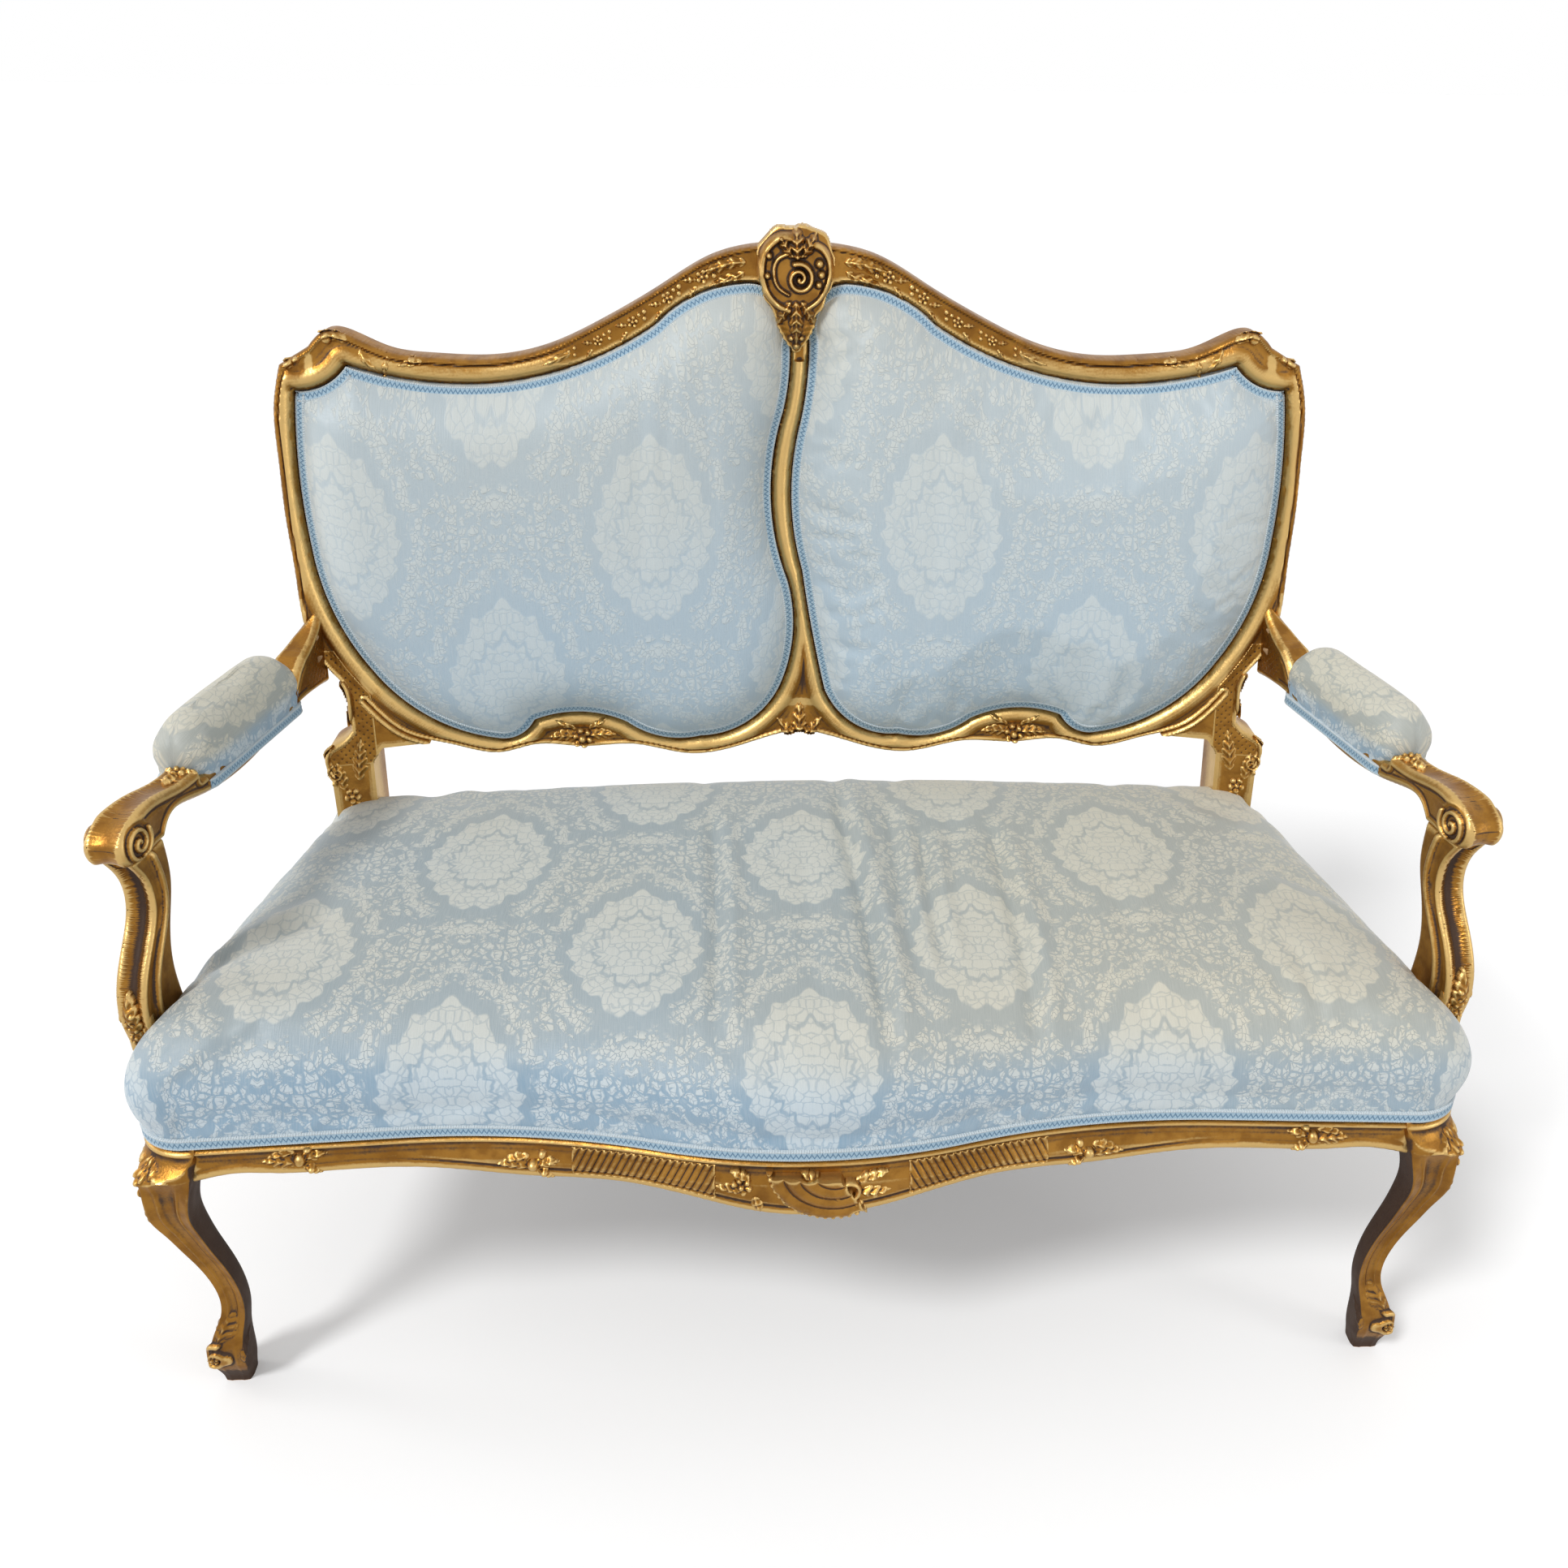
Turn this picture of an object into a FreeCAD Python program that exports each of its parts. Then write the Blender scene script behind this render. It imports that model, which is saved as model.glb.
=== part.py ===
import FreeCAD, Part
import math
import os

# Two-seat giltwood settee with a double cabriole back, in millimetres.
# X runs along the settee, Y from the front to the back, Z up from the floor.
# Points are set out with Y = 0 at the front of the seat; the last step moves
# the origin to the middle of the footprint on the floor.

V = FreeCAD.Vector

# Back: a board bent in plan and raked to the rear
RAKE = 11.0                # lean of the back, degrees
BACK_Y = 560.0             # front face of the back at BACK_Z, on the centre line
BACK_Z = 510.0
BACK_PLAN_RADIUS = 3000.0
BACK_PROUD = 8.0           # frame stands in front of the panel edge
BACK_THICK = 32.0
POST_EXTRA = 21.0          # rear posts are this much deeper than the back frame

# Outline of the back, seen from the front
CREST_TOP = 1078.0
EAR_X = 528.0              # joint between crest rail and stile
EAR_Z = 962.0              # top of that joint
EAR_LOW = 905.0            # below the opening's edge at that joint
STILE_TOP = 985.0          # joint between centre stile and crest rail
STILE_FOOT = 556.0         # joint between centre stile and bottom rails
POST_IN = 506.0
POST_OUT = 552.0
POST_WIDE = 60.0           # width of the post where it passes the seat rails
POST_LOW = 400.0           # the post runs into its leg at this height
POST_REAR = 520.0          # side rails reach this far along the posts
BOSS_X = 264.0             # carved boss on each bottom rail
BOSS_Z = 531.0
BOSS_RADIUS = 17.0
BOSS_PROUD = 10.0

# Seat
GIMP_Z = 330.0             # lower edge of the braid round the seat
GIMP_WIDE = 13.0
GIMP_THICK = 3.0
SEAT_HALF = 650.0
SEAT_SIDE_Y = 92.0
SEAT_REAR_HALF = 570.0
SEAT_REAR_Y = 548.0
SEAT_REAR_SAG = 50.0
SEAT_MID_Y = 300.0
CORNER_X = 602.0
CORNER_BULGE = V(636, 47, 0)
BOW_HALF = 150.0
BOW_DEPTH = 20.0
BOW_Y = -2.0
SWEEP_END = 400.0
SWEEP_SLOPE = 3.2          # degrees
SEAT_TILT = 9.0            # rear of the crown stands this much higher
COVER_THICK = 2.5

# Seat frame
RAIL_LOW = 300.0
RAIL_TOP = 392.0
RAIL_THICK = 34.0
RAIL_BACKSET = 4.0         # rail face behind the covering
LIP_LOW = 291.0            # lower edge of the moulded lip under the braid
BLOCK_IN = 598.0           # joint between front rail and front leg
BLOCK_REAR = 84.0          # joint between side rail and front leg
SHEET = 1.5                # hessian and dust cover
BRACE_WIDE = 50.0
BRACE_THICK = 25.0
BRACE_DROP = 4.0           # bearer above the lower edge of the rails
CORNER_LEG = 95.0          # short sides of the front corner blocks
CORNER_LOW = 22.0          # corner blocks above the lower edge of the rails
CORNER_HIGH = 14.0         # and below their upper edge

# Webbing and springs
WEB_WIDE = 50.0
WEB_THICK = 1.5
WEB_LONG_COUNT = 6
WEB_CROSS_COUNT = 14
SPRING_ROWS = 3
SPRING_COLUMNS = 8
SPRING_RADIUS = 36.0
SPRING_WAIST = 24.0
SPRING_WIRE = 4.0
SPRING_EDGE = 60.0         # springs keep this far from the rails

# Arms
ARM_WIDE = 36.0
ARM_IN_X = 543.0           # inner face of the arm where it leaves the stile
ARM_IN_Y = 545.0
ARM_SPLAY = 11.0           # degrees, outward to the front
ARM_JOINT = 588.0          # top of the arm support
KNOB_WIDE = 48.0
KNOB_RADIUS = 21.0
KNOB_Y = 134.0
ARM_STEP = 614.0           # seat of the pad
ARM_CREST = 706.0          # top of the arm on the stile
PAD_FRONT = 254.0
PAD_REAR = 468.0
PAD_MID = 28.0             # middle of the pad, out from the inner face of the arm
PAD_WOOD = 48.0            # width of the arm under the pad
PAD_TAPER = 38.0           # the outer face starts to close in this far before the pad's end
ARM_ROOT_WIDE = 20.0       # width of the arm at the stile
PAD_LOW = 595.0
PAD_HALF = 28.0

# Dowels and screws
DOWEL_RADIUS = 5.0
DOWEL_LONG = 44.0
DOWEL_FROM_EDGE = 25.0     # dowels of the seat rails, in from their edges
SMALL_RADIUS = 4.0         # dowels of the arms and of the centre stile
SMALL_LONG = 30.0
ARM_DOWEL_Z = (636.0, 660.0)
STILE_DOWEL_X = 22.0
SCREW_RADIUS = 2.5
SCREW_HEAD = 4.5
SCREW_LONG = 57.0
SCREW_SPREAD = 14.0        # the two screws of a block are this far off its middle height

PRISM_START = 300.0
PRISM_LONG = 500.0
FAR = 2000.0
GAP = 0.5                  # clearance of soft pieces


def rise(z):
    """Distance to the rear that the rake gives at height z."""
    return (z - BACK_Z) * math.tan(math.radians(RAKE))


def plan_drop(x):
    """Distance that the bent board comes forward at x."""
    return BACK_PLAN_RADIUS - math.sqrt(BACK_PLAN_RADIUS ** 2 - x * x)


def back_y(x, z):
    return BACK_Y + rise(z) - plan_drop(x)


def arc(a, b, c):
    return Part.Arc(a, b, c).toShape()


def line(a, b):
    return Part.makeLine(a, b)


def arcs(points):
    """Arcs end to end: each takes three points and shares its ends."""
    edges = []
    for i in range(0, len(points) - 2, 2):
        edges.append(arc(points[i], points[i + 1], points[i + 2]))
    return edges


def spline(points):
    curve = Part.BSplineCurve()
    curve.interpolate(points)
    return curve.toShape()


def front(pairs, side=1):
    """Points of a front outline, mirrored for the left."""
    return [V(side * x, PRISM_START, z) for x, z in pairs]


def front_prism(edges):
    face = Part.Face(Part.Wire(edges))
    return face.extrude(V(0, PRISM_LONG, 0))


def back_board(near, far, low, high):
    """Bent and raked board between two offsets from the front of the back."""
    half = SEAT_HALF
    sag = plan_drop(half)
    base = BACK_Y + rise(low)
    a = V(-half, base - sag + near, low)
    b = V(0, base + near, low)
    c = V(half, base - sag + near, low)
    d = V(half, base - sag + far, low)
    e = V(0, base + far, low)
    f = V(-half, base - sag + far, low)
    outline = [arc(a, b, c), line(c, d), arc(d, e, f), line(f, a)]
    lift = V(0, rise(high) - rise(low), high - low)
    return Part.Face(Part.Wire(outline)).extrude(lift)


def box(x0, x1, y0, y1, z0, z1):
    return Part.makeBox(x1 - x0, y1 - y0, z1 - z0, V(x0, y0, z0))


def mirrored(shape):
    return shape.mirror(V(0, 0, 0), V(1, 0, 0))


# Panel outlines. The upper, outer and lower edges are the same on both
# panels; the centre stile bows to the left, so the inner edges differ.
PANEL_TOP = [(107, 1010), (157, 978), (243, 938), (340, 920), (420, 925), (491, 943)]
PANEL_EAR = [(515, 924), (547, 919)]
PANEL_OUTER = [(553, 835), (549, 755), (533, 680), (497, 613), (440, 557), (361, 526)]
PANEL_ARCH = [(332, 530), (316, 546), (264, 553), (208, 538), (170, 519), (120, 517)]
INNER_RIGHT = [(60, 532), (30, 570), (17, 631), (4, 710), (-8, 790), (2, 870),
               (11, 915), (14, 960), (22, 1003), (60, 1020)]
INNER_LEFT = [(62, 532), (22, 575), (6, 632), (12, 700), (30, 795), (15, 884),
              (8, 918), (6, 955), (14, 1002), (60, 1020)]
PANEL_MID = (285.0, 745.0)
PANEL_SET = 6.0            # stretching plane behind the face of the board
PANEL_EDGE = 0.99          # scale of the panel against its opening
PANEL_BACK = 14.0          # depth of the panel behind its plane
PANEL_RIM = 3.0            # height of the rim under the braid
PANEL_RISE = 45.0          # crown over the rim
PANEL_STEPS = [0, 12, 20, 32, 48, 70, 100, 140]
PANEL_REACH = 150.0        # distance from the rim to the top of the crown
PANEL_RADIUS = 235.0       # mean distance from the middle to the edge


def panel_points(side):
    inner = INNER_RIGHT if side > 0 else INNER_LEFT
    start = inner[-1]
    return [start] + PANEL_TOP + PANEL_EAR + PANEL_OUTER + PANEL_ARCH + inner


def panel_opening(side):
    return front_prism(arcs(front(panel_points(side), side)))


def panel_chord(x, z):
    """Flat plane that the panel is stretched on."""
    slope = plan_drop(POST_OUT) / POST_OUT
    return BACK_Y + rise(z) - slope * x + PANEL_SET


def panel_ring(side, scale, forward):
    """Panel outline drawn in by a scale and moved forward, on its own plane."""
    points = []
    for x, z in panel_points(side):
        sx = PANEL_MID[0] + (x - PANEL_MID[0]) * scale
        sz = PANEL_MID[1] + (z - PANEL_MID[1]) * scale
        points.append(V(side * sx, panel_chord(sx, sz) - forward, sz))
    return Part.Wire(arcs(points))


def crown(inward, reach):
    """Share of the full crown at a distance in from the edge."""
    return 1 - (1 - min(1.0, inward / reach)) ** 2.6


def panel_rings(side, less):
    edge = PANEL_EDGE - less / PANEL_RADIUS
    rings = [panel_ring(side, edge, -PANEL_BACK)]
    for inward in PANEL_STEPS:
        forward = PANEL_RIM + PANEL_RISE * crown(inward, PANEL_REACH) - less
        rings.append(panel_ring(side, edge - inward / PANEL_RADIUS, forward))
    return rings


def solid_of(rings):
    return Part.makeLoft(rings, True, True)


def skin(outer, inner):
    """Closed thin cover between two stacks of rings that start in one plane."""
    faces = [Part.Face([outer[0], inner[0]])]
    for rings in (outer, inner):
        faces += Part.makeLoft(rings, False, True).Faces
        faces.append(Part.Face(rings[-1]))
    shell = Part.makeShell(faces)
    shell.sewShape()
    solid = Part.makeSolid(shell)
    solid.fix(0.01, 0.01, 0.01)
    return solid


def back_upholstery(side):
    """Hessian, stuffing, cover, braid and outside cloth of one panel."""
    opening = panel_opening(side)
    behind = -PANEL_BACK - GAP
    inside = solid_of([panel_ring(side, PANEL_EDGE, behind - SHEET), panel_ring(side, PANEL_EDGE, behind)])
    stuffing = solid_of(panel_rings(side, COVER_THICK))
    cover = skin(panel_rings(side, 0.0), panel_rings(side, COVER_THICK))
    width = GIMP_WIDE / PANEL_RADIUS
    low = PANEL_RIM + PANEL_RISE * crown(GIMP_WIDE, PANEL_REACH) * 0.5
    high = low + GIMP_THICK
    band = solid_of([panel_ring(side, PANEL_EDGE, 0.0), panel_ring(side, PANEL_EDGE, high)])
    hole = solid_of([panel_ring(side, PANEL_EDGE - width, -1.0), panel_ring(side, PANEL_EDGE - width, high + 1)])
    braid = band.cut(hole).cut(solid_of(panel_rings(side, 0.0)))
    rear = BACK_THICK - BACK_PROUD
    outside = opening.common(back_board(rear - SHEET, rear, 480, 1060))
    return inside, stuffing, cover, braid, outside


# Back frame
CREST_LINE = [(-EAR_X, EAR_Z), (-510, 977), (-480, 970), (-447, 955), (-402, 948), (-340, 945),
              (-279, 955), (-216, 981), (-149, 1016), (-90, 1047), (-35, 1058)]
BOTTOM_JOINT = (488, 640)    # upper end of the joint between bottom rail and stile
BOTTOM_LINE = [(509, 580), (468, 538), (414, 519), (358, 506), (319, 513), (264, 508),
               (203, 508), (135, 494), (85, 499), (40, 512), (0, 522)]


def crest_rail(openings):
    left = front(CREST_LINE)
    right = [V(-p.x, p.y, p.z) for p in reversed(left)]
    corner = V(EAR_X, PRISM_START, EAR_LOW)
    other = V(-EAR_X, PRISM_START, EAR_LOW)
    edges = [spline(left + right), line(right[-1], corner), line(corner, other), line(other, left[0])]
    body = front_prism(edges).common(back_board(-BACK_PROUD, BACK_THICK - BACK_PROUD, 880, 1100))
    for opening in openings:
        body = body.cut(opening)
    return body.cut(box(-60, 60, PRISM_START, PRISM_START + PRISM_LONG, 800, STILE_TOP))


def centre_stile(openings):
    body = box(-60, 60, PRISM_START, PRISM_START + PRISM_LONG, STILE_FOOT, STILE_TOP)
    body = body.common(back_board(-BACK_PROUD, BACK_THICK - BACK_PROUD, 540, 1000))
    for opening in openings:
        body = body.cut(opening)
    return body


def bottom_rail(side, opening):
    low = front(BOTTOM_LINE, side)
    rest = front([(0, STILE_FOOT), (60, STILE_FOOT), (60, 610), BOTTOM_JOINT], side)
    loop = [low[-1]] + rest + [low[0]]
    edges = [spline(low)]
    for i in range(len(loop) - 1):
        edges.append(line(loop[i], loop[i + 1]))
    body = front_prism(edges).common(back_board(-BACK_PROUD, BACK_THICK - BACK_PROUD, 480, 660))
    body = body.cut(opening)
    face = back_y(BOSS_X, BOSS_Z) - BACK_PROUD
    boss = Part.makeCylinder(BOSS_RADIUS, BOSS_PROUD + 4, V(side * BOSS_X, face - BOSS_PROUD, BOSS_Z), V(0, 1, 0))
    return body.fuse(boss).removeSplitter()


# Rear leg, post and stile in one piece of wood
STILE_OUTER = [(559, 945), (569, 905), (571, 850), (571, 790), (568, 730), (567, 690), (561, 650),
               (545, 618), (530, 596), (528, 570), (527, 545)]
SCROLL_OUTER = [(527, 545), (538, 534), (556, 523), (560, 505), (554, 488)]
REAR_FOOT = [(POST_LOW, POST_IN + POST_WIDE / 2, 522, POST_WIDE, 53), (300, 538, 525, 56, 49), (180, 543, 544, 44, 42),
             (60, 548, 570, 36, 34), (0, 550, 586, 34, 32)]


def rounded(cx, cy, z, wide, deep, radius):
    """Rectangle with round corners, flat at height z."""
    x0 = cx - wide / 2
    x1 = cx + wide / 2
    y0 = cy - deep / 2
    y1 = cy + deep / 2
    r = radius
    k = r * (1 - math.sqrt(0.5))
    edges = [line(V(x0 + r, y0, z), V(x1 - r, y0, z)), arc(V(x1 - r, y0, z), V(x1 - k, y0 + k, z), V(x1, y0 + r, z)),
             line(V(x1, y0 + r, z), V(x1, y1 - r, z)), arc(V(x1, y1 - r, z), V(x1 - k, y1 - k, z), V(x1 - r, y1, z)),
             line(V(x1 - r, y1, z), V(x0 + r, y1, z)), arc(V(x0 + r, y1, z), V(x0 + k, y1 - k, z), V(x0, y1 - r, z)),
             line(V(x0, y1 - r, z), V(x0, y0 + r, z)), arc(V(x0, y0 + r, z), V(x0 + k, y0 + k, z), V(x0 + r, y0, z))]
    return Part.Wire(edges)


def rear_leg(opening, rail):
    """Right rear leg: splayed foot, post with scrolled bracket, and stile."""
    inner = front([(EAR_X, EAR_Z), (544, 953), STILE_OUTER[0]])
    outer = front(STILE_OUTER)
    scroll = front(SCROLL_OUTER)
    wide = POST_IN + POST_WIDE
    low = front([SCROLL_OUTER[-1], (POST_OUT, POST_LOW + 30), (wide, POST_LOW + 15), (wide, POST_LOW),
                 (POST_IN, POST_LOW), (POST_IN, 508), (494, 522), (440, 524), (430, 545), (500, 640),
                 (480, EAR_LOW), (EAR_X, EAR_LOW), (EAR_X, EAR_Z)])
    edges = [line(inner[0], inner[1]), line(inner[1], inner[2]), spline(outer), spline(scroll)]
    for i in range(len(low) - 1):
        edges.append(line(low[i], low[i + 1]))
    body = front_prism(edges)
    rear = BACK_THICK - BACK_PROUD
    upper = body.common(back_board(-BACK_PROUD, rear, 560, 1000))
    post = body.common(back_board(-BACK_PROUD, rear + POST_EXTRA, POST_LOW, 560))
    foot = Part.makeLoft([rounded(x, y, z, w, d, 5) for z, x, y, w, d in REAR_FOOT], True, False)
    upper = upper.cut(opening).cut(rail)
    post = post.cut(opening).cut(rail)
    return upper.fuse(post).fuse(foot)


# Seat plan
def seat_front(inset):
    """Right half of the serpentine front, from the centre line outward."""
    slope = math.asin(2 * BOW_DEPTH * BOW_HALF / (BOW_HALF ** 2 + BOW_DEPTH ** 2))
    end = math.radians(SWEEP_SLOPE)
    radius = (SWEEP_END - BOW_HALF) / (math.sin(slope) + math.sin(end))
    bow_end = BOW_Y + BOW_DEPTH
    crest = bow_end + radius * (1 - math.cos(slope))
    sweep_y = crest - radius * (1 - math.cos(end))
    corner_y = sweep_y - (CORNER_X - SWEEP_END) * math.tan(end)
    points = [(0.0, BOW_Y), (BOW_HALF, bow_end), (BOW_HALF + radius * math.sin(slope), crest),
              (SWEEP_END, sweep_y), (CORNER_X, corner_y)]
    return [seat_point(x, y, inset) for x, y in points]


def seat_point(x, y, inset):
    """Plan point drawn in towards the middle of the seat."""
    return (x * (1 - inset / SEAT_HALF), SEAT_MID_Y + (y - SEAT_MID_Y) * (1 - inset / SEAT_MID_Y))


def seat_ring(inset, z, tilt=0.0):
    def at(pair, side=1):
        return V(side * pair[0], pair[1], z + tilt * (pair[1] - SEAT_MID_Y) / SEAT_MID_Y)
    f = seat_front(inset)
    bulge = seat_point(CORNER_BULGE.x, CORNER_BULGE.y, inset)
    side_front = seat_point(SEAT_HALF, SEAT_SIDE_Y, inset)
    side_mid = seat_point((SEAT_HALF + SEAT_REAR_HALF) / 2 + 6, (SEAT_SIDE_Y + SEAT_REAR_Y) / 2, inset)
    side_rear = seat_point(SEAT_REAR_HALF, SEAT_REAR_Y, inset)
    rear = seat_point(0, SEAT_REAR_Y + SEAT_REAR_SAG, inset)
    edges = [arc(at(f[1], -1), at(f[0]), at(f[1]))]
    edges += [arc(at(f[1]), at(f[2]), at(f[3])), line(at(f[3]), at(f[4]))]
    edges += [arc(at(f[4]), at(bulge), at(side_front)), arc(at(side_front), at(side_mid), at(side_rear))]
    edges += [arc(at(side_rear), at(rear), at(side_rear, -1))]
    edges += [arc(at(side_rear, -1), at(side_mid, -1), at(side_front, -1))]
    edges += [arc(at(side_front, -1), at(bulge, -1), at(f[4], -1))]
    edges += [line(at(f[4], -1), at(f[3], -1)), arc(at(f[3], -1), at(f[2], -1), at(f[1], -1))]
    return Part.Wire(edges)


def seat_prism(inset, low, high):
    return Part.Face(seat_ring(inset, low)).extrude(V(0, 0, high - low))


# Crown of the seat: height, inset of the plan, share of the tilt
SEAT_CROWN = [(344, 0, 0.0), (354, -5, 0.1), (368, -9, 0.2), (384, -11, 0.3), (400, -10, 0.4),
              (414, -5, 0.5), (426, 4, 0.65), (436, 17, 0.8), (445, 36, 0.9), (452, 62, 1.0), (458, 100, 1.0),
              (462, 150, 1.0), (463.5, 210, 1.0)]
SKIRT_TOP = 344.0


def seat_rings(less, low):
    """Rings of the seat, from low up over the crown."""
    rings = [seat_ring(less, low)]
    for z, inset, tilt in SEAT_CROWN:
        if z > low:
            drop = less * (z - SKIRT_TOP) / (SEAT_CROWN[-1][0] - SKIRT_TOP)
            rings.append(seat_ring(inset + less, z - drop, SEAT_TILT * tilt))
    return rings


def seat_band(outer, inner, low, high):
    return seat_prism(outer, low, high).cut(seat_prism(inner, low, high))


# Front cabriole leg: height, centre x and y, width, depth, corner radius
LEG_RINGS = [(RAIL_LOW, 622, 50, 50, 62, 10), (275, 625, 42, 45, 48, 12), (250, 627, 41, 40, 42, 12),
             (225, 622, 43, 34, 36, 11), (200, 616, 46, 30, 32, 10), (175, 609, 49, 27, 29, 9),
             (150, 603, 51, 25, 27, 9), (125, 600, 52, 24, 26, 9), (100, 602, 52, 26, 28, 9),
             (78, 609, 50, 34, 34, 12), (50, 615, 48, 41, 42, 16), (26, 616, 50, 38, 38, 15),
             (8, 616, 53, 30, 30, 12)]


def front_leg():
    rings = [rounded(x, y, z, w, d, r) for z, x, y, w, d, r in LEG_RINGS]
    body = Part.makeLoft(rings, True, False)
    z, x, y, w, d, r = LEG_RINGS[-1]
    pad = Part.Face(rounded(x, y, 0, w, d, r)).extrude(V(0, 0, z))
    block = seat_prism(RAIL_BACKSET, RAIL_LOW, RAIL_TOP).common(
        box(BLOCK_IN, SEAT_HALF, 0, BLOCK_REAR, RAIL_LOW, RAIL_TOP))
    lip = seat_prism(0, LIP_LOW, GIMP_Z).common(box(BLOCK_IN, SEAT_HALF, 0, BLOCK_REAR, LIP_LOW, GIMP_Z))
    return block.fuse(lip).fuse(body).fuse(pad)


APRON_THICK = 27.0
APRON_LINE = [(-BLOCK_IN, 289), (-560, 296), (-515, 293), (-450, 293), (-390, 291), (-330, 284),
              (-290, 280), (-200, 282), (-120, 277), (-60, 265), (0, 260)]


def front_rail():
    """Serpentine rail with the moulded and shaped apron in one piece."""
    rail = seat_band(RAIL_BACKSET, RAIL_BACKSET + RAIL_THICK, RAIL_LOW, RAIL_TOP)
    rail = rail.common(box(-BLOCK_IN, BLOCK_IN, -FAR, SEAT_MID_Y / 2, 0, RAIL_TOP))
    apron = seat_band(0, APRON_THICK, APRON_LINE[-1][1] - 20, GIMP_Z)
    left = [V(x, -SEAT_MID_Y, z) for x, z in APRON_LINE]
    right = [V(-p.x, p.y, p.z) for p in reversed(left[:-1])]
    top_right = V(BLOCK_IN, -SEAT_MID_Y, GIMP_Z)
    top_left = V(-BLOCK_IN, -SEAT_MID_Y, GIMP_Z)
    edges = [spline(left + right), line(right[-1], top_right), line(top_right, top_left), line(top_left, left[0])]
    window = Part.Face(Part.Wire(edges)).extrude(V(0, SEAT_MID_Y * 1.5, 0))
    return rail.fuse(apron.common(window))


def side_rail(leg):
    rail = seat_band(RAIL_BACKSET, RAIL_BACKSET + RAIL_THICK, RAIL_LOW, RAIL_TOP)
    lip = seat_band(0, RAIL_THICK / 2, LIP_LOW, GIMP_Z)
    window = box(0, FAR, BLOCK_REAR, POST_REAR, 0, RAIL_TOP)
    return rail.fuse(lip).common(window).cut(leg)


def rear_rail(leg):
    rail = seat_band(RAIL_BACKSET, RAIL_BACKSET + RAIL_THICK, RAIL_LOW, RAIL_TOP)
    lip = seat_band(0, RAIL_THICK / 2, LIP_LOW, GIMP_Z)
    window = box(-FAR, FAR, POST_REAR, FAR, 0, RAIL_TOP)
    middle = box(-POST_IN, POST_IN, SEAT_MID_Y, POST_REAR, 0, RAIL_TOP)
    return rail.fuse(lip).common(window.fuse(middle)).cut(leg).cut(mirrored(leg))


# Arms, drawn from the side in a plane that splays outward to the front
ARM_ROOT = [(ARM_IN_Y, ARM_CREST), (528, 680), (505, 662), (480, 651)]
ARM_NOSE = [(252, 624), (215, 625), (180, 631), (150, 632), (122, 624), (108, 607), (113, 592), (122, ARM_JOINT)]
PAD_SEAT_UNDER = [(200, 592), (270, 592), (336, 590), (408, 598), (470, 606)]
ARM_UNDER = [(176, ARM_JOINT), (190, 601), (232, 600), (270, 592), (336, 588), (408, 596), (455, 604), (515, 603)]
SUPPORT_FRONT = [(122, ARM_JOINT), (138, 560), (138, 532), (118, 500), (97, 470), (88, 440), (92, 405)]
SUPPORT_REAR = [(150, 405), (146, 440), (146, 470), (158, 510), (173, 545), (176, ARM_JOINT)]


def side_points(pairs):
    return [V(0, y, z) for y, z in pairs]


def splayed(shape):
    """Set a side piece on its line: inner face at x = 0 before the turn."""
    shape.rotate(V(0, ARM_IN_Y, 0), V(0, 0, 1), ARM_SPLAY)
    shape.translate(V(ARM_IN_X, 0, 0))
    return shape


def arm(leg):
    root = side_points(ARM_ROOT)
    nose = side_points(ARM_NOSE)
    under = side_points(ARM_UNDER)
    step = side_points([(ARM_ROOT[-1][0], ARM_STEP), (ARM_NOSE[0][0], ARM_STEP)])
    rear = V(0, ARM_IN_Y - 15, 601)
    edges = [spline(root), line(root[-1], step[0]), line(step[0], step[1]), line(step[1], nose[0]), spline(nose),
             line(nose[-1], under[0]), spline(under), line(under[-1], rear), line(rear, root[0])]
    body = Part.Face(Part.Wire(edges)).extrude(V(ARM_WIDE, 0, 0))
    half = (KNOB_WIDE - ARM_WIDE) / 2
    knob = Part.makeCylinder(KNOB_RADIUS, KNOB_WIDE, V(-half, KNOB_Y, ARM_JOINT + KNOB_RADIUS), V(1, 0, 0))
    body = body.fuse(knob).fuse(pad_seat())
    taper_start = PAD_REAR - PAD_TAPER
    taper = [(ARM_WIDE, taper_start), (FAR, taper_start), (FAR, ARM_IN_Y + 50), (ARM_ROOT_WIDE, ARM_IN_Y + 50),
             (ARM_ROOT_WIDE, ARM_IN_Y), (ARM_WIDE, taper_start)]
    outside = Part.Face(Part.makePolygon([V(x, y, 0) for x, y in taper])).extrude(V(0, 0, FAR))
    return splayed(body.cut(outside)).cut(leg)


def pad_seat():
    """Wider wood under the pad, with the arm's own underside."""
    front_y = PAD_FRONT + 14
    rear_y = PAD_REAR - 6
    plan = [(ARM_WIDE, front_y), (PAD_WOOD, front_y + 32), (PAD_WOOD, rear_y - 32), (ARM_WIDE, rear_y)]
    low = PAD_SEAT_UNDER[0][1] - 40
    face = Part.Face(Part.makePolygon([V(x, y, low) for x, y in plan + plan[:1]]))
    wood = face.extrude(V(0, 0, ARM_STEP - low))
    edge = side_points(PAD_SEAT_UNDER)
    base = [V(0, edge[-1].y, low - 1), V(0, edge[0].y, low - 1)]
    edges = [spline(edge), line(edge[-1], base[0]), line(base[0], base[1]), line(base[1], edge[0])]
    return wood.cut(Part.Face(Part.Wire(edges)).extrude(V(PAD_WOOD + 1, 0, 0)))


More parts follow.
